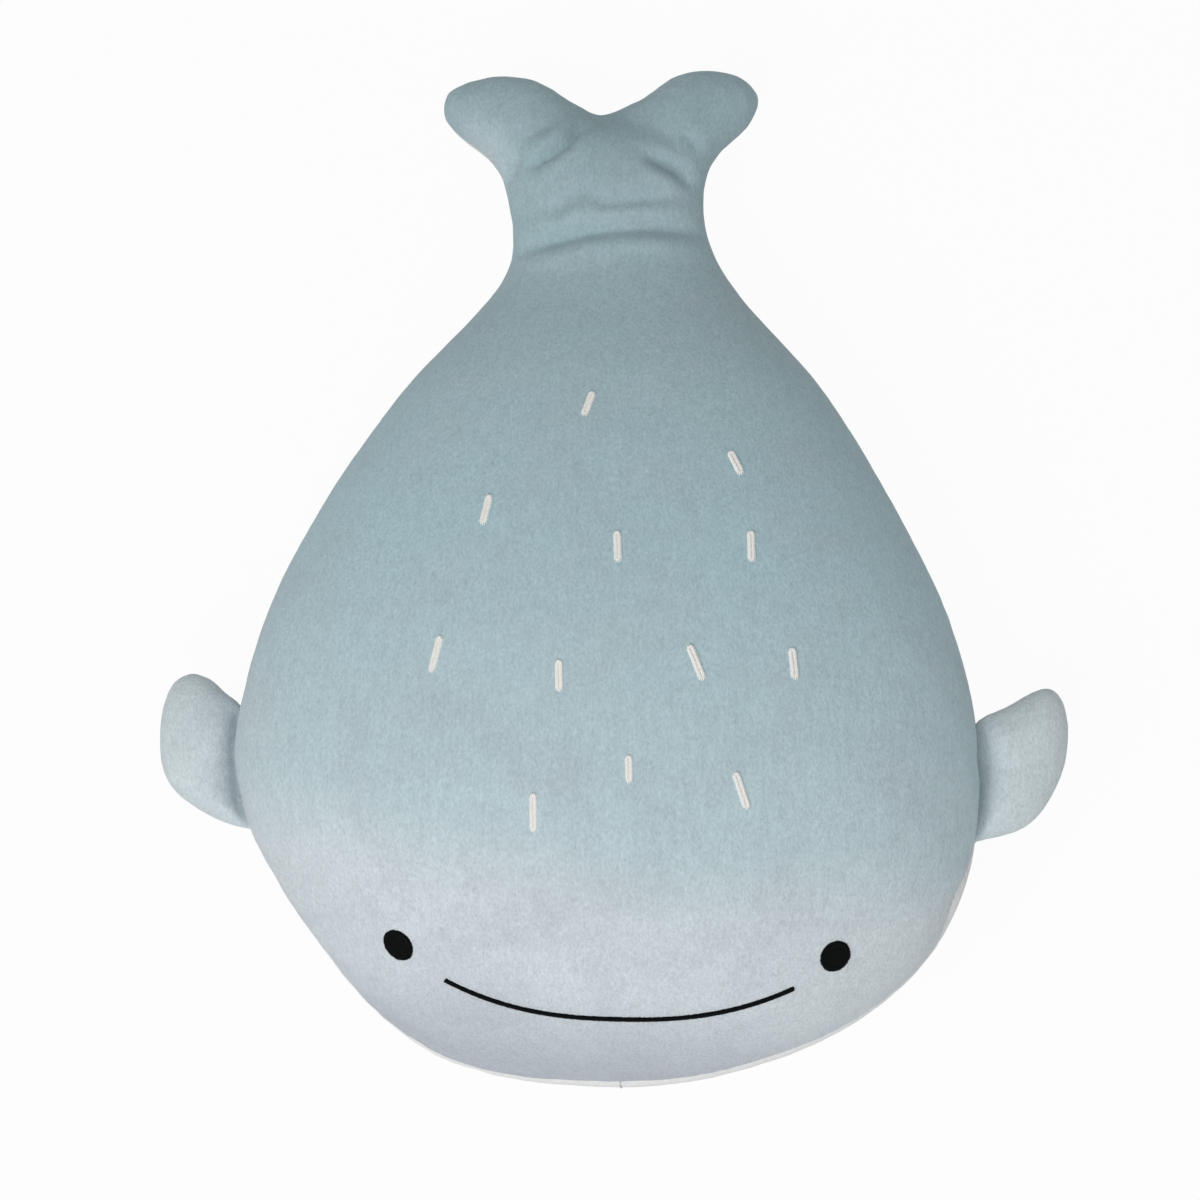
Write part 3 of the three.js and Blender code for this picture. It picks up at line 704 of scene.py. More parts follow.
def loop_place(points, angle):
    """The place on a smooth closed loop through points, at an angle of its way round."""
    at = angle / (2 * math.pi) % 1 * len(points)
    i, t = int(at), at % 1
    before, start, end, after = (Vector(points[(i + k) % len(points)]) for k in (-1, 0, 1, 2))
    line = 2 * start + (end - before) * t
    line += (2 * before - 5 * start + 4 * end - after) * t**2
    return (line + (3 * start - before - 3 * end + after) * t**3) / 2


def fluke_place(side, share, angle):
    """A point of a fluke, a cushion over its outline that lies in the plane of the side seam."""
    fluke = FLUKES[side]
    outwards = -1 if side == "left" else 1
    edge = []
    for i, reach in enumerate(fluke["reaches"]):
        turn = math.radians(FLUKE_STEP * i + FLUKE_FIRST)
        edge.append((outwards * reach * math.sin(turn), reach * math.cos(turn)))
    spread = math.sin(share * math.pi)
    spot = Vector(fluke["middle"]) + loop_place(edge, angle) * spread
    height = FLUKE_THICKNESS / 2 * math.sqrt(max(0.0, 1 - spread**FLUKE_CROWN))
    return Vector((spot.x, spot.y, seam_plane(spot.y) + math.copysign(height, 0.5 - share)))


def body_form():
    """The body, a ball drawn out to its cross-sections, with both flukes."""
    shape = bmesh.new()
    ball_to_form(shape, BODY_GRID, lambda share, angle: body_place(body_row(share), angle))
    for side in FLUKES:
        ball_to_form(shape, FLUKE_GRID, lambda share, angle, side=side: fluke_place(side, share, angle))
    bmesh.ops.recalc_face_normals(shape, faces=shape.faces)
    return shape


def flipper_axes(side):
    """Where a flipper is sewn on, the direction of its hinge, and the way that it points."""
    joint = JOINTS[f"{side}_flipper_flap"]
    along = Vector(joint["axis"])
    if along.y < 0:
        along.negate()
    out = along.cross(Vector((0, 0, 1))).normalized()
    if side == "left":
        out.negate()
    level_up = out.cross(along) if side == "right" else along.cross(out)
    out = out * math.cos(FLIPPER_DROOP) - level_up.normalized() * math.sin(FLIPPER_DROOP)
    return Vector(joint["pos_m"]), along.normalized(), out


def flank_falls_away(side, root, along, place):
    """How far the outline of the body lies inside a flipper's hinge line, at a place along that line."""

    def edge(y):
        sign = -1 if side == "left" else 1
        return sign * spine(y) + flank(y) * closing(y, HEAD_ROUNDNESS, HEAD_BLUNTNESS)

    lean = (along.x if side == "right" else -along.x) * place
    return edge(root.y) - edge(root.y + place * along.y) + lean


def flipper_form(side, root, along, out, up):
    """A flipper, a ball pressed flat and drawn to the outline. Its root follows the flank of the body."""
    middle = Vector(FLIPPER_MIDDLE)

    def place(share, angle):
        reach = math.sin(share * math.pi)
        spot = middle.lerp(loop_place(FLIPPER_OUTLINES[side], angle), reach)
        inwards = 1 - min(1.0, max(0.0, (spot.x + FLIPPER_ROOT_INSIDE) / FLIPPER_SWELL))
        follows = math.exp(-max(0.0, spot.x) / FLIPPER_LEAVES_FLANK)
        spot.x -= flank_falls_away(side, root, along, spot.y) * follows
        swell = math.sqrt(1 - inwards**2)
        height = FLIPPER_ROOT_RISE + (FLIPPER_THICKNESS / 2 - FLIPPER_ROOT_RISE) * swell
        height *= math.copysign(math.sqrt(max(0.0, 1 - reach**FLIPPER_CROWN)), 0.5 - share)
        return root + out * spot.x + along * spot.y + up * height

    shape = bmesh.new()
    ball_to_form(shape, FLIPPER_GRID, place)
    bmesh.ops.recalc_face_normals(shape, faces=shape.faces)
    return shape


def object_from(shape, name):
    """A new object that holds a bmesh."""
    mesh = bpy.data.meshes.new(name)
    shape.to_mesh(mesh)
    shape.free()
    made = bpy.data.objects.new(name, mesh)
    bpy.context.scene.collection.objects.link(made)
    return made


def shape_of(mesh):
    shape = bmesh.new()
    shape.from_mesh(mesh)
    return shape


def moved_along_normals(shape, rise):
    """Moves each point of a bmesh along its normal by rise(point, normal)."""
    shape.normal_update()
    places = [v.co + v.normal * rise(v.co, v.normal) for v in shape.verts]
    for v, place in zip(shape.verts, places):
        v.co = place
    return shape


def settle(made):
    """Applies an object's modifiers to its mesh."""
    graph = bpy.context.evaluated_depsgraph_get()
    mesh = bpy.data.meshes.new_from_object(made.evaluated_get(graph))
    made.modifiers.clear()
    old, made.data = made.data, mesh
    name = old.name
    bpy.data.meshes.remove(old)
    mesh.name = name
    return made


def even_skin(name, shape, spacing, rounding):
    """One closed skin round the parts of a form, with even faces on its surface and soft joins."""
    form = BVHTree.FromBMesh(shape)
    skin = object_from(shape, name)
    remesh = skin.modifiers.new("even_mesh", "REMESH")
    remesh.mode = "VOXEL"
    remesh.voxel_size = spacing
    settle(skin)
    shape = shape_of(skin.data)
    for v in shape.verts:
        v.co = form.find_nearest(v.co)[0]
    smoothed(shape, shape.verts, rounding)
    shape.to_mesh(skin.data)
    shape.free()
    return skin


def fill(skin, is_held):
    """Blows a closed skin up as stuffing does. Its held points stay where they are."""
    settings = bpy.context.scene.dolphin_cloth
    before = [v.co.copy() for v in skin.data.vertices]
    held = skin.vertex_groups.new(name="seams")
    held.add([v.index for v in skin.data.vertices if is_held(v.co)], 1, "REPLACE")
    cloth = skin.modifiers.new("stuffing", "CLOTH")
    cloth.point_cache.frame_start = 1
    cloth.point_cache.frame_end = settings.frames
    cloth.settings.use_pressure = True
    cloth.settings.uniform_pressure_force = settings.pressure
    cloth.settings.effector_weights.gravity = 0
    cloth.settings.vertex_group_mass = held.name
    for step in range(1, settings.frames + 1):
        bpy.context.scene.frame_set(step)
    settle(skin)
    skin.vertex_groups.clear()
    bpy.context.scene.frame_set(1)
    moves = []
    for v, start in zip(skin.data.vertices, before):
        move = v.co - start
        moves.append(move.length)
        if move.length > settings.swell:
            move *= settings.swell / move.length
        v.co = start + move
        v.co.z = max(v.co.z, 0.0)
    mean, most = (round(1000 * move, 2) for move in (sum(moves) / len(moves), max(moves)))
    print(skin.name, "swelled by", mean, "mm, most", most)
    finer = skin.modifiers.new("finer", "SUBSURF")
    finer.levels = finer.render_levels = 1
    settle(skin)
    return skin


def crease_depth(creases, x, y):
    """How far creases draw in the cloth at a place seen from above."""
    total = 0.0
    here = Vector((x, y))
    for depth, width, points in creases:
        middle = Vector(points[len(points) // 2])
        if (here - middle).length > CREASE_NEAR:
            continue
        nearest, at = 1.0, 0.0
        for i, (a, b) in enumerate(zip(points, points[1:])):
            a, b = Vector(a), Vector(b)
            run = b - a
            share = min(max((here - a).dot(run) / run.length_squared, 0), 1)
            distance = (here - a - run * share).length
            if distance < nearest:
                nearest, at = distance, (i + share) / (len(points) - 1)
        fade = min(1.0, CREASE_FADES_OVER * min(at, 1 - at) + CREASE_AT_ENDS)
        valley = math.exp(-((nearest / width) ** 2))
        bank = BANK_HEIGHT * math.exp(-(((nearest - BANK_PLACE * width) / (BANK_WIDTH * width)) ** 2))
        total += depth * fade * (valley - bank)
    return total


def relief(spot, normal):
    """How far the cloth stands out at a point of the body: folds, seams and soft unevenness."""
    settings = bpy.context.scene.dolphin_cloth
    out = 0.0009 * noise.noise(spot * 14) + 0.0003 * noise.noise(spot * 37)
    if spot.z < 0.004:
        out = min(out, 0.0)
    from_seam = abs(spot.z - seam_height(spot.x, spot.y))
    out -= settings.groove * math.exp(-((from_seam / 0.0026) ** 2))
    for root in FLIPPER_ROOTS:
        # A flipper draws its seam in, and the cloth over it hangs out in soft waves.
        beside = math.exp(-(((spot.x - root.x) / 0.03) ** 2) - ((spot.y - root.y) / 0.030) ** 4)
        over = spot.z - root.z - 0.010
        waves = 0.0018 * noise.noise(Vector((root.x * 9, spot.y * 60, 1)))
        drawn_in = 0.0036 * math.exp(-((from_seam / 0.0060) ** 2))
        out += beside * (waves * math.exp(-((over / 0.008) ** 2)) - drawn_in)
    gathers = noise.noise(Vector((spot.x, spot.y, 0)) * 110)
    gathers += 0.6 * noise.noise(Vector((spot.x, spot.y, 4)) * 190)
    out -= settings.pucker * max(gathers, -0.2) * 1.6 * math.exp(-from_seam / 0.010)
    if normal.z > 0.15:
        out -= crease_depth(BACK_CREASES, spot.x, spot.y) * min(1, (normal.z - 0.15) * 4)
    elif normal.z < -0.15:
        out -= crease_depth(BELLY_CREASES, spot.x, spot.y) * min(1, (-normal.z - 0.15) * 4)
        from_middle = spot.x - belly_seam(spot)
        out -= 0.6 * settings.groove * math.exp(-((from_middle / 0.0022) ** 2))
    return out


def model_relief(skin):
    """Refines the tail and the seams, and moves the skin by its folds."""
    shape = shape_of(skin.data)

    def is_fine(edge):
        from_seam = min(abs(v.co.z - side_seam(v.co)) for v in edge.verts)
        return edge.verts[0].co.y > TAIL_FROM or from_seam < 0.005

    fine = [edge for edge in shape.edges if is_fine(edge)]
    bmesh.ops.subdivide_edges(shape, edges=fine, cuts=1, use_grid_fill=True)
    smoothed(shape, shape.verts, 2)
    smoothed(shape, [v for v in shape.verts if v.co.y > TAIL_FROM], 2)
    moved_along_normals(shape, relief)
    for v in shape.verts:
        v.co.z = max(v.co.z, 0.0)
    shape.to_mesh(skin.data)
    shape.free()


def halved(shape, at, normal, keep):
    """Cuts a bmesh in a plane and keeps the side that the normal points to (1), or the other (-1)."""
    bmesh.ops.bisect_plane(
        shape,
        geom=shape.verts[:] + shape.edges[:] + shape.faces[:],
        dist=1e-6,
        plane_co=at,
        plane_no=normal,
        clear_inner=keep > 0,
        clear_outer=keep < 0,
    )
    return shape


def cut_along(shape, axis, offset, keep):
    """Cuts a bmesh where its coordinate equals offset(point), and keeps the side over or under it."""
    for v in shape.verts:
        v.co[axis] -= offset(v.co)
    normal = Vector((0, 0, 0))
    normal[axis] = 1
    halved(shape, (0, 0, 0), normal, keep)
    for v in shape.verts:
        v.co[axis] += offset(v.co)
    return shape


def side_seam(point):
    return seam_height(point.x, point.y)


def belly_seam(point):
    """Where the seam under the belly runs. It ends to the right of the middle of the chin."""
    from_nose = (point.y - NOSE) / BELLY_SEAM_STRAIGHTENS
    return spine(point.y) + BELLY_SEAM_ASIDE * math.exp(-(from_nose**2))


def clear_scraps(shape):
    """Deletes the scraps that a cut leaves beside the largest part of a bmesh."""
    unseen = set(shape.verts)
    parts = []
    while unseen:
        part = [unseen.pop()]
        for v in part:
            beside = {other for face in v.link_faces for other in face.verts} & unseen
            unseen -= beside
            part.extend(beside)
        parts.append(part)
    largest = max(len(part) for part in parts)
    scraps = [v for part in parts if len(part) < largest for v in part]
    bmesh.ops.delete(shape, geom=scraps, context="VERTS")


def cloth_from(shape, name, slot, thickness=None, finish=None):
    """A piece of cloth with its thickness, from a bmesh of its outer face."""
    made = object_from(shape, name)
    walls = made.modifiers.new("cloth", "SOLIDIFY")
    walls.thickness = thickness or bpy.context.scene.dolphin_cloth.thickness
    walls.offset = -1
    walls.use_rim = True
    settle(made)
    return dressed(made, slot, finish)


def dressed(made, slot, finish=None):
    """Gives a piece its material and smooth shading."""
    made.data.materials.clear()
    made.data.materials.append(finish_named(finish or slot))
    made.data.polygons.foreach_set("use_smooth", [True] * len(made.data.polygons))
    made.data.update()
    return made


def smoothed(shape, verts, passes):
    """Relaxes points of a bmesh towards their neighbours."""
    for _ in range(passes):
        bmesh.ops.smooth_vert(
            shape, verts=verts, factor=0.5, use_axis_x=True, use_axis_y=True, use_axis_z=True
        )


def bends_with_tail(made):
    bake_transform(made)
    return made


def skin_of_body():
    found = bpy.data.meshes.get(SKIN)
    if found is None:
        raise RuntimeError("The body cloth isn't sewn yet: run its operator first")
    return found


def rim_points(shape):
    """The points of a bmesh's longest open edge, in order. A closed loop ends where it starts."""
    left = dict.fromkeys(e for e in shape.edges if e.is_boundary)
    lines = []
    while left:
        first = next(iter(left))
        del left[first]
        line = [first.verts[0], first.verts[1]]
        for end in (1, 0):
            while True:
                tip = line[-1] if end else line[0]
                step = next((e for e in tip.link_edges if e in left), None)
                if step is None:
                    break
                del left[step]
                if end:
                    line.append(step.other_vert(tip))
                else:
                    line.insert(0, step.other_vert(tip))
        lines.append(line)
    longest = max(lines, key=len)
    return [v.co.copy() for v in longest]


def threads(name, lines, thickness, slot):
    """Strands of thread through lists of points, as one mesh."""
    curve = bpy.data.curves.new(name, "CURVE")
    curve.dimensions = "3D"
    curve.bevel_depth = thickness / 2
    curve.bevel_resolution = 1
    curve.use_fill_caps = True
    for points in lines:
        spline = curve.splines.new("POLY")
        spline.points.add(len(points) - 1)
        spline.points.foreach_set("co", [c for p in points for c in (*p, 1)])
    drawn = bpy.data.objects.new(name + "_line", curve)
    bpy.context.scene.collection.objects.link(drawn)
    graph = bpy.context.evaluated_depsgraph_get()
    mesh = bpy.data.meshes.new_from_object(drawn.evaluated_get(graph))
    bpy.data.objects.remove(drawn)
    bpy.data.curves.remove(curve)
    mesh.name = name
    made = bpy.data.objects.new(name, mesh)
    bpy.context.scene.collection.objects.link(made)
    return dressed(made, slot)


def evenly(points, step, closed=False):
    """(place, direction) pairs at even steps along a line of points."""
    ring = points + points[:1] if closed else points
    runs = [(b - a).length for a, b in zip(ring, ring[1:])]
    total = sum(runs)
    count = max(2, round(total / step))
    places = []
    index, behind = 0, 0.0
    for i in range(count if closed else count + 1):
        want = total * i / count
        while index < len(runs) - 1 and behind + runs[index] < want:
            behind += runs[index]
            index += 1
        a, b = ring[index], ring[index + 1]
        places.append((a.lerp(b, (want - behind) / runs[index]), (b - a).normalized()))
    return places


def sewn_line(points, surface, stitch, thickness):
    """Small stitches along a seam. Each one dips into the cloth at its ends."""
    lines = []
    spots = [place for place, _ in evenly(points, stitch / 4)]
    for i in range(0, len(spots) - 4, 4):
        line = []
        for k, height in ((0, -0.9), (1, 0.1), (2, 0.3), (3, 0.1), (4, -0.9)):
            spot, normal, _, _ = surface.find_nearest(spots[i + k])
            line.append(spots[i + k] + normal * height * thickness)
        lines.append(line)
    return lines


class Embroidery:
    """Thread laid on the body's cloth, placed as seen from above."""

    def __init__(self):
        shape = shape_of(skin_of_body())
        self.cloth = BVHTree.FromBMesh(shape)
        shape.free()
        self.settings = bpy.context.scene.dolphin_threads

    def on_cloth(self, place, height):
        spot, normal, _, _ = self.cloth.ray_cast(Vector((place.x, place.y, 1)), Vector((0, 0, -1)))
        if spot is None:
            raise RuntimeError(f"There is no cloth under {place}")
        return spot + normal * height

    def strand(self, start, end, arch, steps):
        """One strand between two places, sunk in at both and arched between them."""
        line = []
        for i in range(steps + 1):
            share = i / steps
            height = arch * (1 - abs(2 * share - 1) ** 3) - self.settings.strand * 0.5 * (i in (0, steps))
            line.append(self.on_cloth(start.lerp(end, share), height))
        return line

    def satin(self, path, width, closed=False, slant=0.0):
        """Strands side by side across a line."""
        lines = []
        for i, (middle, along) in enumerate(evenly(path, self.settings.spacing, closed)):
            across = Vector((-along.y, along.x)) + along * slant
            across *= width / 2 * (1 + 0.24 * noise.noise(Vector((i * 1.37, width * 3000, 0.5))))
            lines.append(self.strand(middle - across, middle + across, self.settings.arch, 5))
        return lines


def turned(points, middle, turn):
    """Points of a figure round (0, 0), turned and moved to its middle."""
    spin = Matrix.Rotation(turn, 2)
    return [spin @ Vector(p) + Vector(middle) for p in points]


def ellipse(length, width, count):
    return [
        (math.cos(2 * math.pi * i / count) * length / 2, math.sin(2 * math.pi * i / count) * width / 2)
        for i in range(count)
    ]


def racetrack(length, width, count):
    """A long loop with round ends, along Y."""
    reach = length / 2 - width / 2
    ends = []
    for sign, start in ((1, 0.0), (-1, math.pi)):
        for i in range(count + 1):
            angle = start + math.pi * i / count
            ends.append((math.cos(angle) * width / 2, sign * reach + math.sin(angle) * width / 2))
    return ends


# ---------------------------------------------------------------- operators


class DOLPHIN_OT_body_cloth(bpy.types.Operator):
    """Sews the back cloth and the two belly cloths"""

    bl_idname = "dolphin.body_cloth"
    bl_label = "Body cloth"

    def execute(self, context):
        settings = context.scene.dolphin_cloth
        skin = even_skin(SKIN, body_form(), settings.body_spacing, 4)
        fill(skin, lambda point: abs(point.z - side_seam(point)) < SIDE_SEAM_HOLDS)
        model_relief(skin)
        mesh = skin.data
        bpy.data.objects.remove(skin)
        mesh.use_fake_user = True
        mesh.name = SKIN
        back = cut_along(shape_of(mesh), 2, side_seam, 1)
        back = cloth_from(back, "back_cloth", "blue_grey_velour")
        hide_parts("back_panel", "tail_back_panel")
        bends_with_tail(back)
        for side, keep in (("left", -1), ("right", 1)):
            half = cut_along(shape_of(mesh), 2, side_seam, -1)
            half = cut_along(half, 0, belly_seam, keep)
            half = cloth_from(half, f"belly_cloth_{side}", "white_velour")
            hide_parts(f"belly_panel_{side}", f"tail_belly_panel_{side}")
            bends_with_tail(half)
        return {"FINISHED"}


class DOLPHIN_OT_body_stuffing(bpy.types.Operator):
    """Fills the body and tail under the cloth"""

    bl_idname = "dolphin.body_stuffing"
    bl_label = "Body stuffing"

    def execute(self, context):
        inset = context.scene.dolphin_cloth.thickness + UNDER_CLOTH
        shape = moved_along_normals(shape_of(skin_of_body()), lambda point, normal: -inset)
        smoothed(shape, shape.verts, 4)
        made = dressed(object_from(shape, "fibre_filling"), "fibre_stuffing")
        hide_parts("body_stuffing", "tail_stuffing")
        bends_with_tail(made)
        return {"FINISHED"}


class DOLPHIN_OT_seam_threads(bpy.types.Operator):
    """Sews the side seam and the seam under the belly"""

    bl_idname = "dolphin.seam_threads"
    bl_label = "Seam threads"

    def execute(self, context):
        mesh = skin_of_body()
        shape = shape_of(mesh)
        surface = BVHTree.FromBMesh(shape)
        shape.free()
        back = cut_along(shape_of(mesh), 2, side_seam, 1)
        side = self.sewn("side_seam_stitches", rim_points(back), surface)
        back.free()
        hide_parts("side_seam_thread", "tail_side_seam_thread")
        bends_with_tail(side)
        under = cut_along(shape_of(mesh), 2, side_seam, -1)
        half = cut_along(under, 0, belly_seam, 1)
        rim = rim_points(half)
        half.free()
        on_seam = [abs(p.x - belly_seam(p)) < 1e-5 for p in rim]
        beside = on_seam.index(False)
        order = [*range(beside, len(rim)), *range(1, beside)]
        middle = [rim[i] for i in order if on_seam[i]]
        belly = self.sewn("belly_seam_stitches", middle, surface)
        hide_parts("belly_seam_thread", "tail_belly_seam_thread")
        bends_with_tail(belly)
        return {"FINISHED"}

    def sewn(self, name, points, surface):
        return threads(name, sewn_line(points, surface, SEAM_STITCH, SEAM_THREAD), SEAM_THREAD, "seam_thread")


class DOLPHIN_OT_flippers(bpy.types.Operator):
    """Sews and fills both flippers"""

    bl_idname = "dolphin.flippers"
    bl_label = "Flippers"

    def execute(self, context):
        for side in ("left", "right"):
            self.sew(context, side)
        return {"FINISHED"}

    def sew(self, context, side):
        settings = context.scene.dolphin_cloth
        root, along, out = flipper_axes(side)
        up = along.cross(out) if side == "left" else out.cross(along)
        form = flipper_form(side, root, along, out, up)
        skin = even_skin(f"{side}_flipper_skin", form, settings.flipper_spacing, 2)

        def is_held(point):
            offset = point - root
            return abs(offset.dot(up)) < FLIPPER_SEAM_HOLDS or offset.dot(out) < FLIPPER_ROOT_HOLDS

        def rise(point, _):
            """Unevenness, the groove of the seam, and gathers that fade out from the root."""
            offset = point - root
            gathers = noise.noise(Vector((offset.dot(along) * 150, offset.dot(out) * 25, 3)))
            total = 0.0006 * noise.noise(point * 45)
            total -= 0.0009 * math.exp(-((offset.dot(up) / 0.0016) ** 2))
            return total - 0.0010 * max(gathers, 0) * math.exp(-max(offset.dot(out), 0) / 0.007)

        fill(skin, is_held)
        shape = moved_along_normals(shape_of(skin.data), rise)
        shape.to_mesh(skin.data)
        shape.free()
        for piece, keep in (("top", 1), ("under", -1)):
            shape = halved(shape_of(skin.data), root, up, keep)
            bmesh.ops.dissolve_degenerate(shape, dist=SLIVER, edges=shape.edges)
            clear_scraps(shape)
            name = f"{side}_flipper_{piece}_cloth"
            made = cloth_from(shape, name, "blue_grey_velour", FLIPPER_CLOTH, "flipper_velour")
            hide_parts(f"{side}_flipper_{piece}_panel")
            self.sewn_on(made, side, root, out)
        shape = shape_of(skin.data)
        middle = root + out * FLIPPER_MIDDLE[0] + along * FLIPPER_MIDDLE[1]
        bmesh.ops.scale(shape, vec=FLIPPER_FILLING, space=Matrix.Translation(-middle), verts=shape.verts)
        made = dressed(object_from(shape, f"{side}_flipper_filling"), "fibre_stuffing")
        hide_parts(f"{side}_flipper_stuffing")
        self.sewn_on(made, side, root, out)
        bpy.data.objects.remove(skin)

    def sewn_on(self, made, side, root, out):
        """Bakes the place of a flipper's piece into its mesh."""
        root - out * 0.002
        root + out * 0.012
        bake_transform(made)
        return made


class DOLPHIN_OT_eyes(bpy.types.Operator):
    """Embroiders both eyes: rows of thread inside a satin border"""

    bl_idname = "dolphin.eyes"
    bl_label = "Eyes"

    def execute(self, context):
        work = Embroidery()
        settings = work.settings
        border = EYE_BORDER
        for name, eye in EYES.items():
            length, width = settings.eye_length * eye["stretch"], settings.eye_width
            ring = turned(ellipse(length - border, width - border, 48), eye["middle"], eye["turn"])
            lines = work.satin(ring, border, closed=True, slant=0.15)
            half_width = width / 2 - border * 0.3
            rows = round(2 * half_width / settings.spacing)
            for i in range(rows + 1):
                across = half_width * (2 * i / rows - 1)
                reach = (length / 2 - border * 0.3) * math.sqrt(max(0.0, 1 - (across / half_width) ** 2))
                if reach < settings.strand:
                    continue
                ends = turned([(-reach, across), (reach, across)], eye["middle"], eye["turn"])
                lines.append(work.strand(ends[0], ends[1], settings.arch * 0.8, 8))
            made = threads(name + "_stitching", lines, settings.strand, "black_thread")
            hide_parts(name)
            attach(made, "torso")
        return {"FINISHED"}


class DOLPHIN_OT_smile(bpy.types.Operator):
    """Embroiders the smile in satin stitch"""

    bl_idname = "dolphin.smile"
    bl_label = "Smile"

    def execute(self, context):
        work = Embroidery()
        settings = work.settings
        shares = [i / SMILE_STEPS - 1 for i in range(2 * SMILE_STEPS + 1)]
        bow = [
            (share * settings.smile_width / 2, settings.smile_sag * abs(share) ** SMILE_ROUNDNESS)
            for share in shares
        ]
        path = turned(bow, SMILE_MIDDLE, SMILE_TURN)
        lines = work.satin(path, settings.smile_line, slant=0.25)
        made = threads("smile_stitching", lines, settings.strand, "black_thread")
        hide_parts("smile")
        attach(made, "torso")
        return {"FINISHED"}


class DOLPHIN_OT_back_stitches(bpy.types.Operator):
    """Embroiders the marks on the back, each a loop of satin stitch"""

    bl_idname = "dolphin.back_stitches"
    bl_label = "Back stitches"

    def execute(self, context):
        work = Embroidery()
        settings = work.settings
        rail = settings.stitch_width / 2
        for number, (x, y, length, turn) in enumerate(BACK_STITCHES, 1):
            loop = racetrack(length - rail, rail, 5)
            path = turned(loop, (x, y), math.radians(turn))
            lines = work.satin(path, rail * 1.05, closed=True)
            made = threads(f"back_stitching_{number:02}", lines, settings.strand, "white_thread")
            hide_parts(f"back_stitch_{number:02}")
            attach(made, "torso")
        return {"FINISHED"}


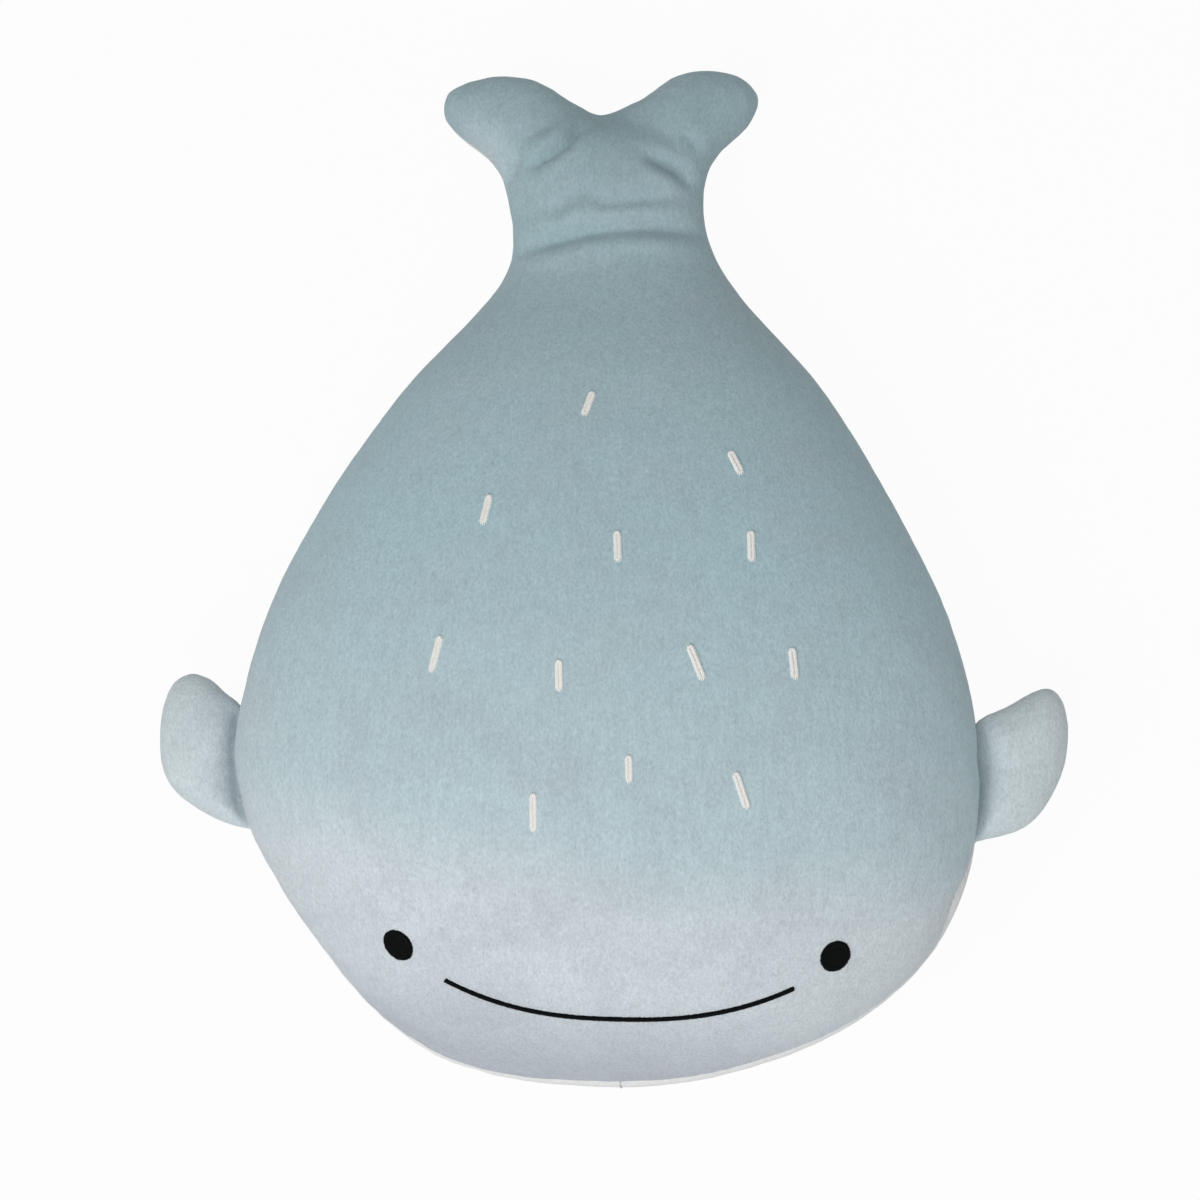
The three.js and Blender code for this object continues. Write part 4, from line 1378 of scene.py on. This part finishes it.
class DOLPHIN_OT_stage(bpy.types.Operator):
    """Sets the floor, the soft lamps and the camera"""

    bl_idname = "dolphin.stage"
    bl_label = "Stage"

    def execute(self, context):
        settings = context.scene.dolphin_stage
        context.scene.view_settings.view_transform = "Standard"
        self.lay_floor()
        self.light_room(context, settings)
        for name, place, size, power in LAMPS:
            self.hang_lamp(name, place, size, getattr(settings, power))
        self.set_camera(context, settings)
        return {"FINISHED"}

    def lay_floor(self):
        shape = bmesh.new()
        bmesh.ops.create_grid(shape, x_segments=1, y_segments=1, size=FLOOR_SIZE)
        bmesh.ops.translate(shape, verts=shape.verts, vec=(0, 0, FLOOR_LEVEL))
        floor = object_from(shape, "floor")
        finish = material_finish("pale_floor")
        paint = finish.node("ShaderNodeBsdfDiffuse", {}, {"Color": (0.7, 0.7, 0.7, 1)})
        glow = finish.node("ShaderNodeEmission", {}, {"Color": WHITE, "Strength": 1.0})
        seen = finish.node("ShaderNodeLightPath", output="Is Camera Ray")
        mirrored = finish.node("ShaderNodeLightPath", output="Is Glossy Ray")
        shining = (seen + mirrored) * FLOOR_SHINE
        blended = finish.node("ShaderNodeMixShader", {}, {"Fac": shining, 1: paint, 2: glow})
        finish.node("ShaderNodeOutputMaterial", {}, {"Surface": blended})
        floor.data.materials.append(finish.owner)
        floor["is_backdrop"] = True

    def light_room(self, context, settings):
        room = Finish(bpy.data.worlds.new("even_room"))
        context.scene.world = room.owner
        sky = room.node("ShaderNodeBackground", {}, {"Color": WHITE, "Strength": settings.ambient})
        backdrop = room.node("ShaderNodeBackground", {}, {"Color": WHITE, "Strength": 1.0})
        seen = room.node("ShaderNodeLightPath", output="Is Camera Ray")
        mixed = room.node("ShaderNodeMixShader", {}, {"Fac": seen, 1: sky, 2: backdrop})
        room.node("ShaderNodeOutputWorld", {}, {"Surface": mixed})

    def hang_lamp(self, name, place, size, power):
        lamp = bpy.data.lights.new(name, "AREA")
        lamp.size = size
        lamp.energy = power
        made = bpy.data.objects.new(name, lamp)
        made.location = place
        made.rotation_euler = (LAMPS_AIM - Vector(place)).to_track_quat("-Z", "Y").to_euler()
        bpy.context.scene.collection.objects.link(made)

    def set_camera(self, context, settings):
        """Looks down on the toy as the photograph does, its tail towards the top of the picture."""
        back = CAMERA_SIDE.normalized()
        right = Vector((0, 1, 0)).cross(back).normalized()
        up = back.cross(right)
        lens = bpy.data.cameras.new("camera")
        lens.sensor_width = SENSOR_WIDTH
        lens.lens = SENSOR_WIDTH * settings.camera_distance / PICTURE_WIDTH
        lens.shift_x, lens.shift_y = (shift / PICTURE_PIXELS for shift in PICTURE_SHIFT)
        lens.clip_end = FAR_END
        camera = bpy.data.objects.new("camera", lens)
        axes = Matrix((right, up, back)).transposed().to_4x4()
        camera.matrix_world = Matrix.Translation(CAMERA_AIM + back * settings.camera_distance) @ axes
        context.scene.collection.objects.link(camera)
        context.scene.camera = camera


class DOLPHIN_PT_workshop(bpy.types.Panel):
    """Lists the steps and settings of the toy"""

    bl_idname = "DOLPHIN_PT_workshop"
    bl_label = "Plush Dolphin"
    bl_space_type = "VIEW_3D"
    bl_region_type = "UI"
    bl_category = "Plush Dolphin"

    def draw(self, context):
        for settings in (getattr(context.scene, name) for name in SETTINGS):
            box = self.layout.box()
            for name in settings.bl_rna.properties.keys():
                if name not in ("rna_type", "name"):
                    box.prop(settings, name)
        for step in STEPS:
            self.layout.operator(step.bl_idname)


SETTINGS = {
    "dolphin_cloth": DolphinClothSettings,
    "dolphin_threads": DolphinThreadSettings,
    "dolphin_colours": DolphinColourSettings,
    "dolphin_stage": DolphinStageSettings,
}
STEPS = [
    DOLPHIN_OT_body_cloth,
    DOLPHIN_OT_body_stuffing,
    DOLPHIN_OT_seam_threads,
    DOLPHIN_OT_flippers,
    DOLPHIN_OT_eyes,
    DOLPHIN_OT_smile,
    DOLPHIN_OT_back_stitches,
    DOLPHIN_OT_stage,
]


def register():
    for made in [*SETTINGS.values(), *STEPS, DOLPHIN_PT_workshop]:
        bpy.utils.register_class(made)
    for name, settings in SETTINGS.items():
        setattr(bpy.types.Scene, name, PointerProperty(type=settings))


def unregister():
    for name in SETTINGS:
        delattr(bpy.types.Scene, name)
    for made in reversed([*SETTINGS.values(), *STEPS, DOLPHIN_PT_workshop]):
        bpy.utils.unregister_class(made)


def main():
    register()
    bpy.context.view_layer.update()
    for step in STEPS:
        group, name = step.bl_idname.split(".")
        getattr(getattr(bpy.ops, group), name)()


if __name__ == "__main__":
    main()
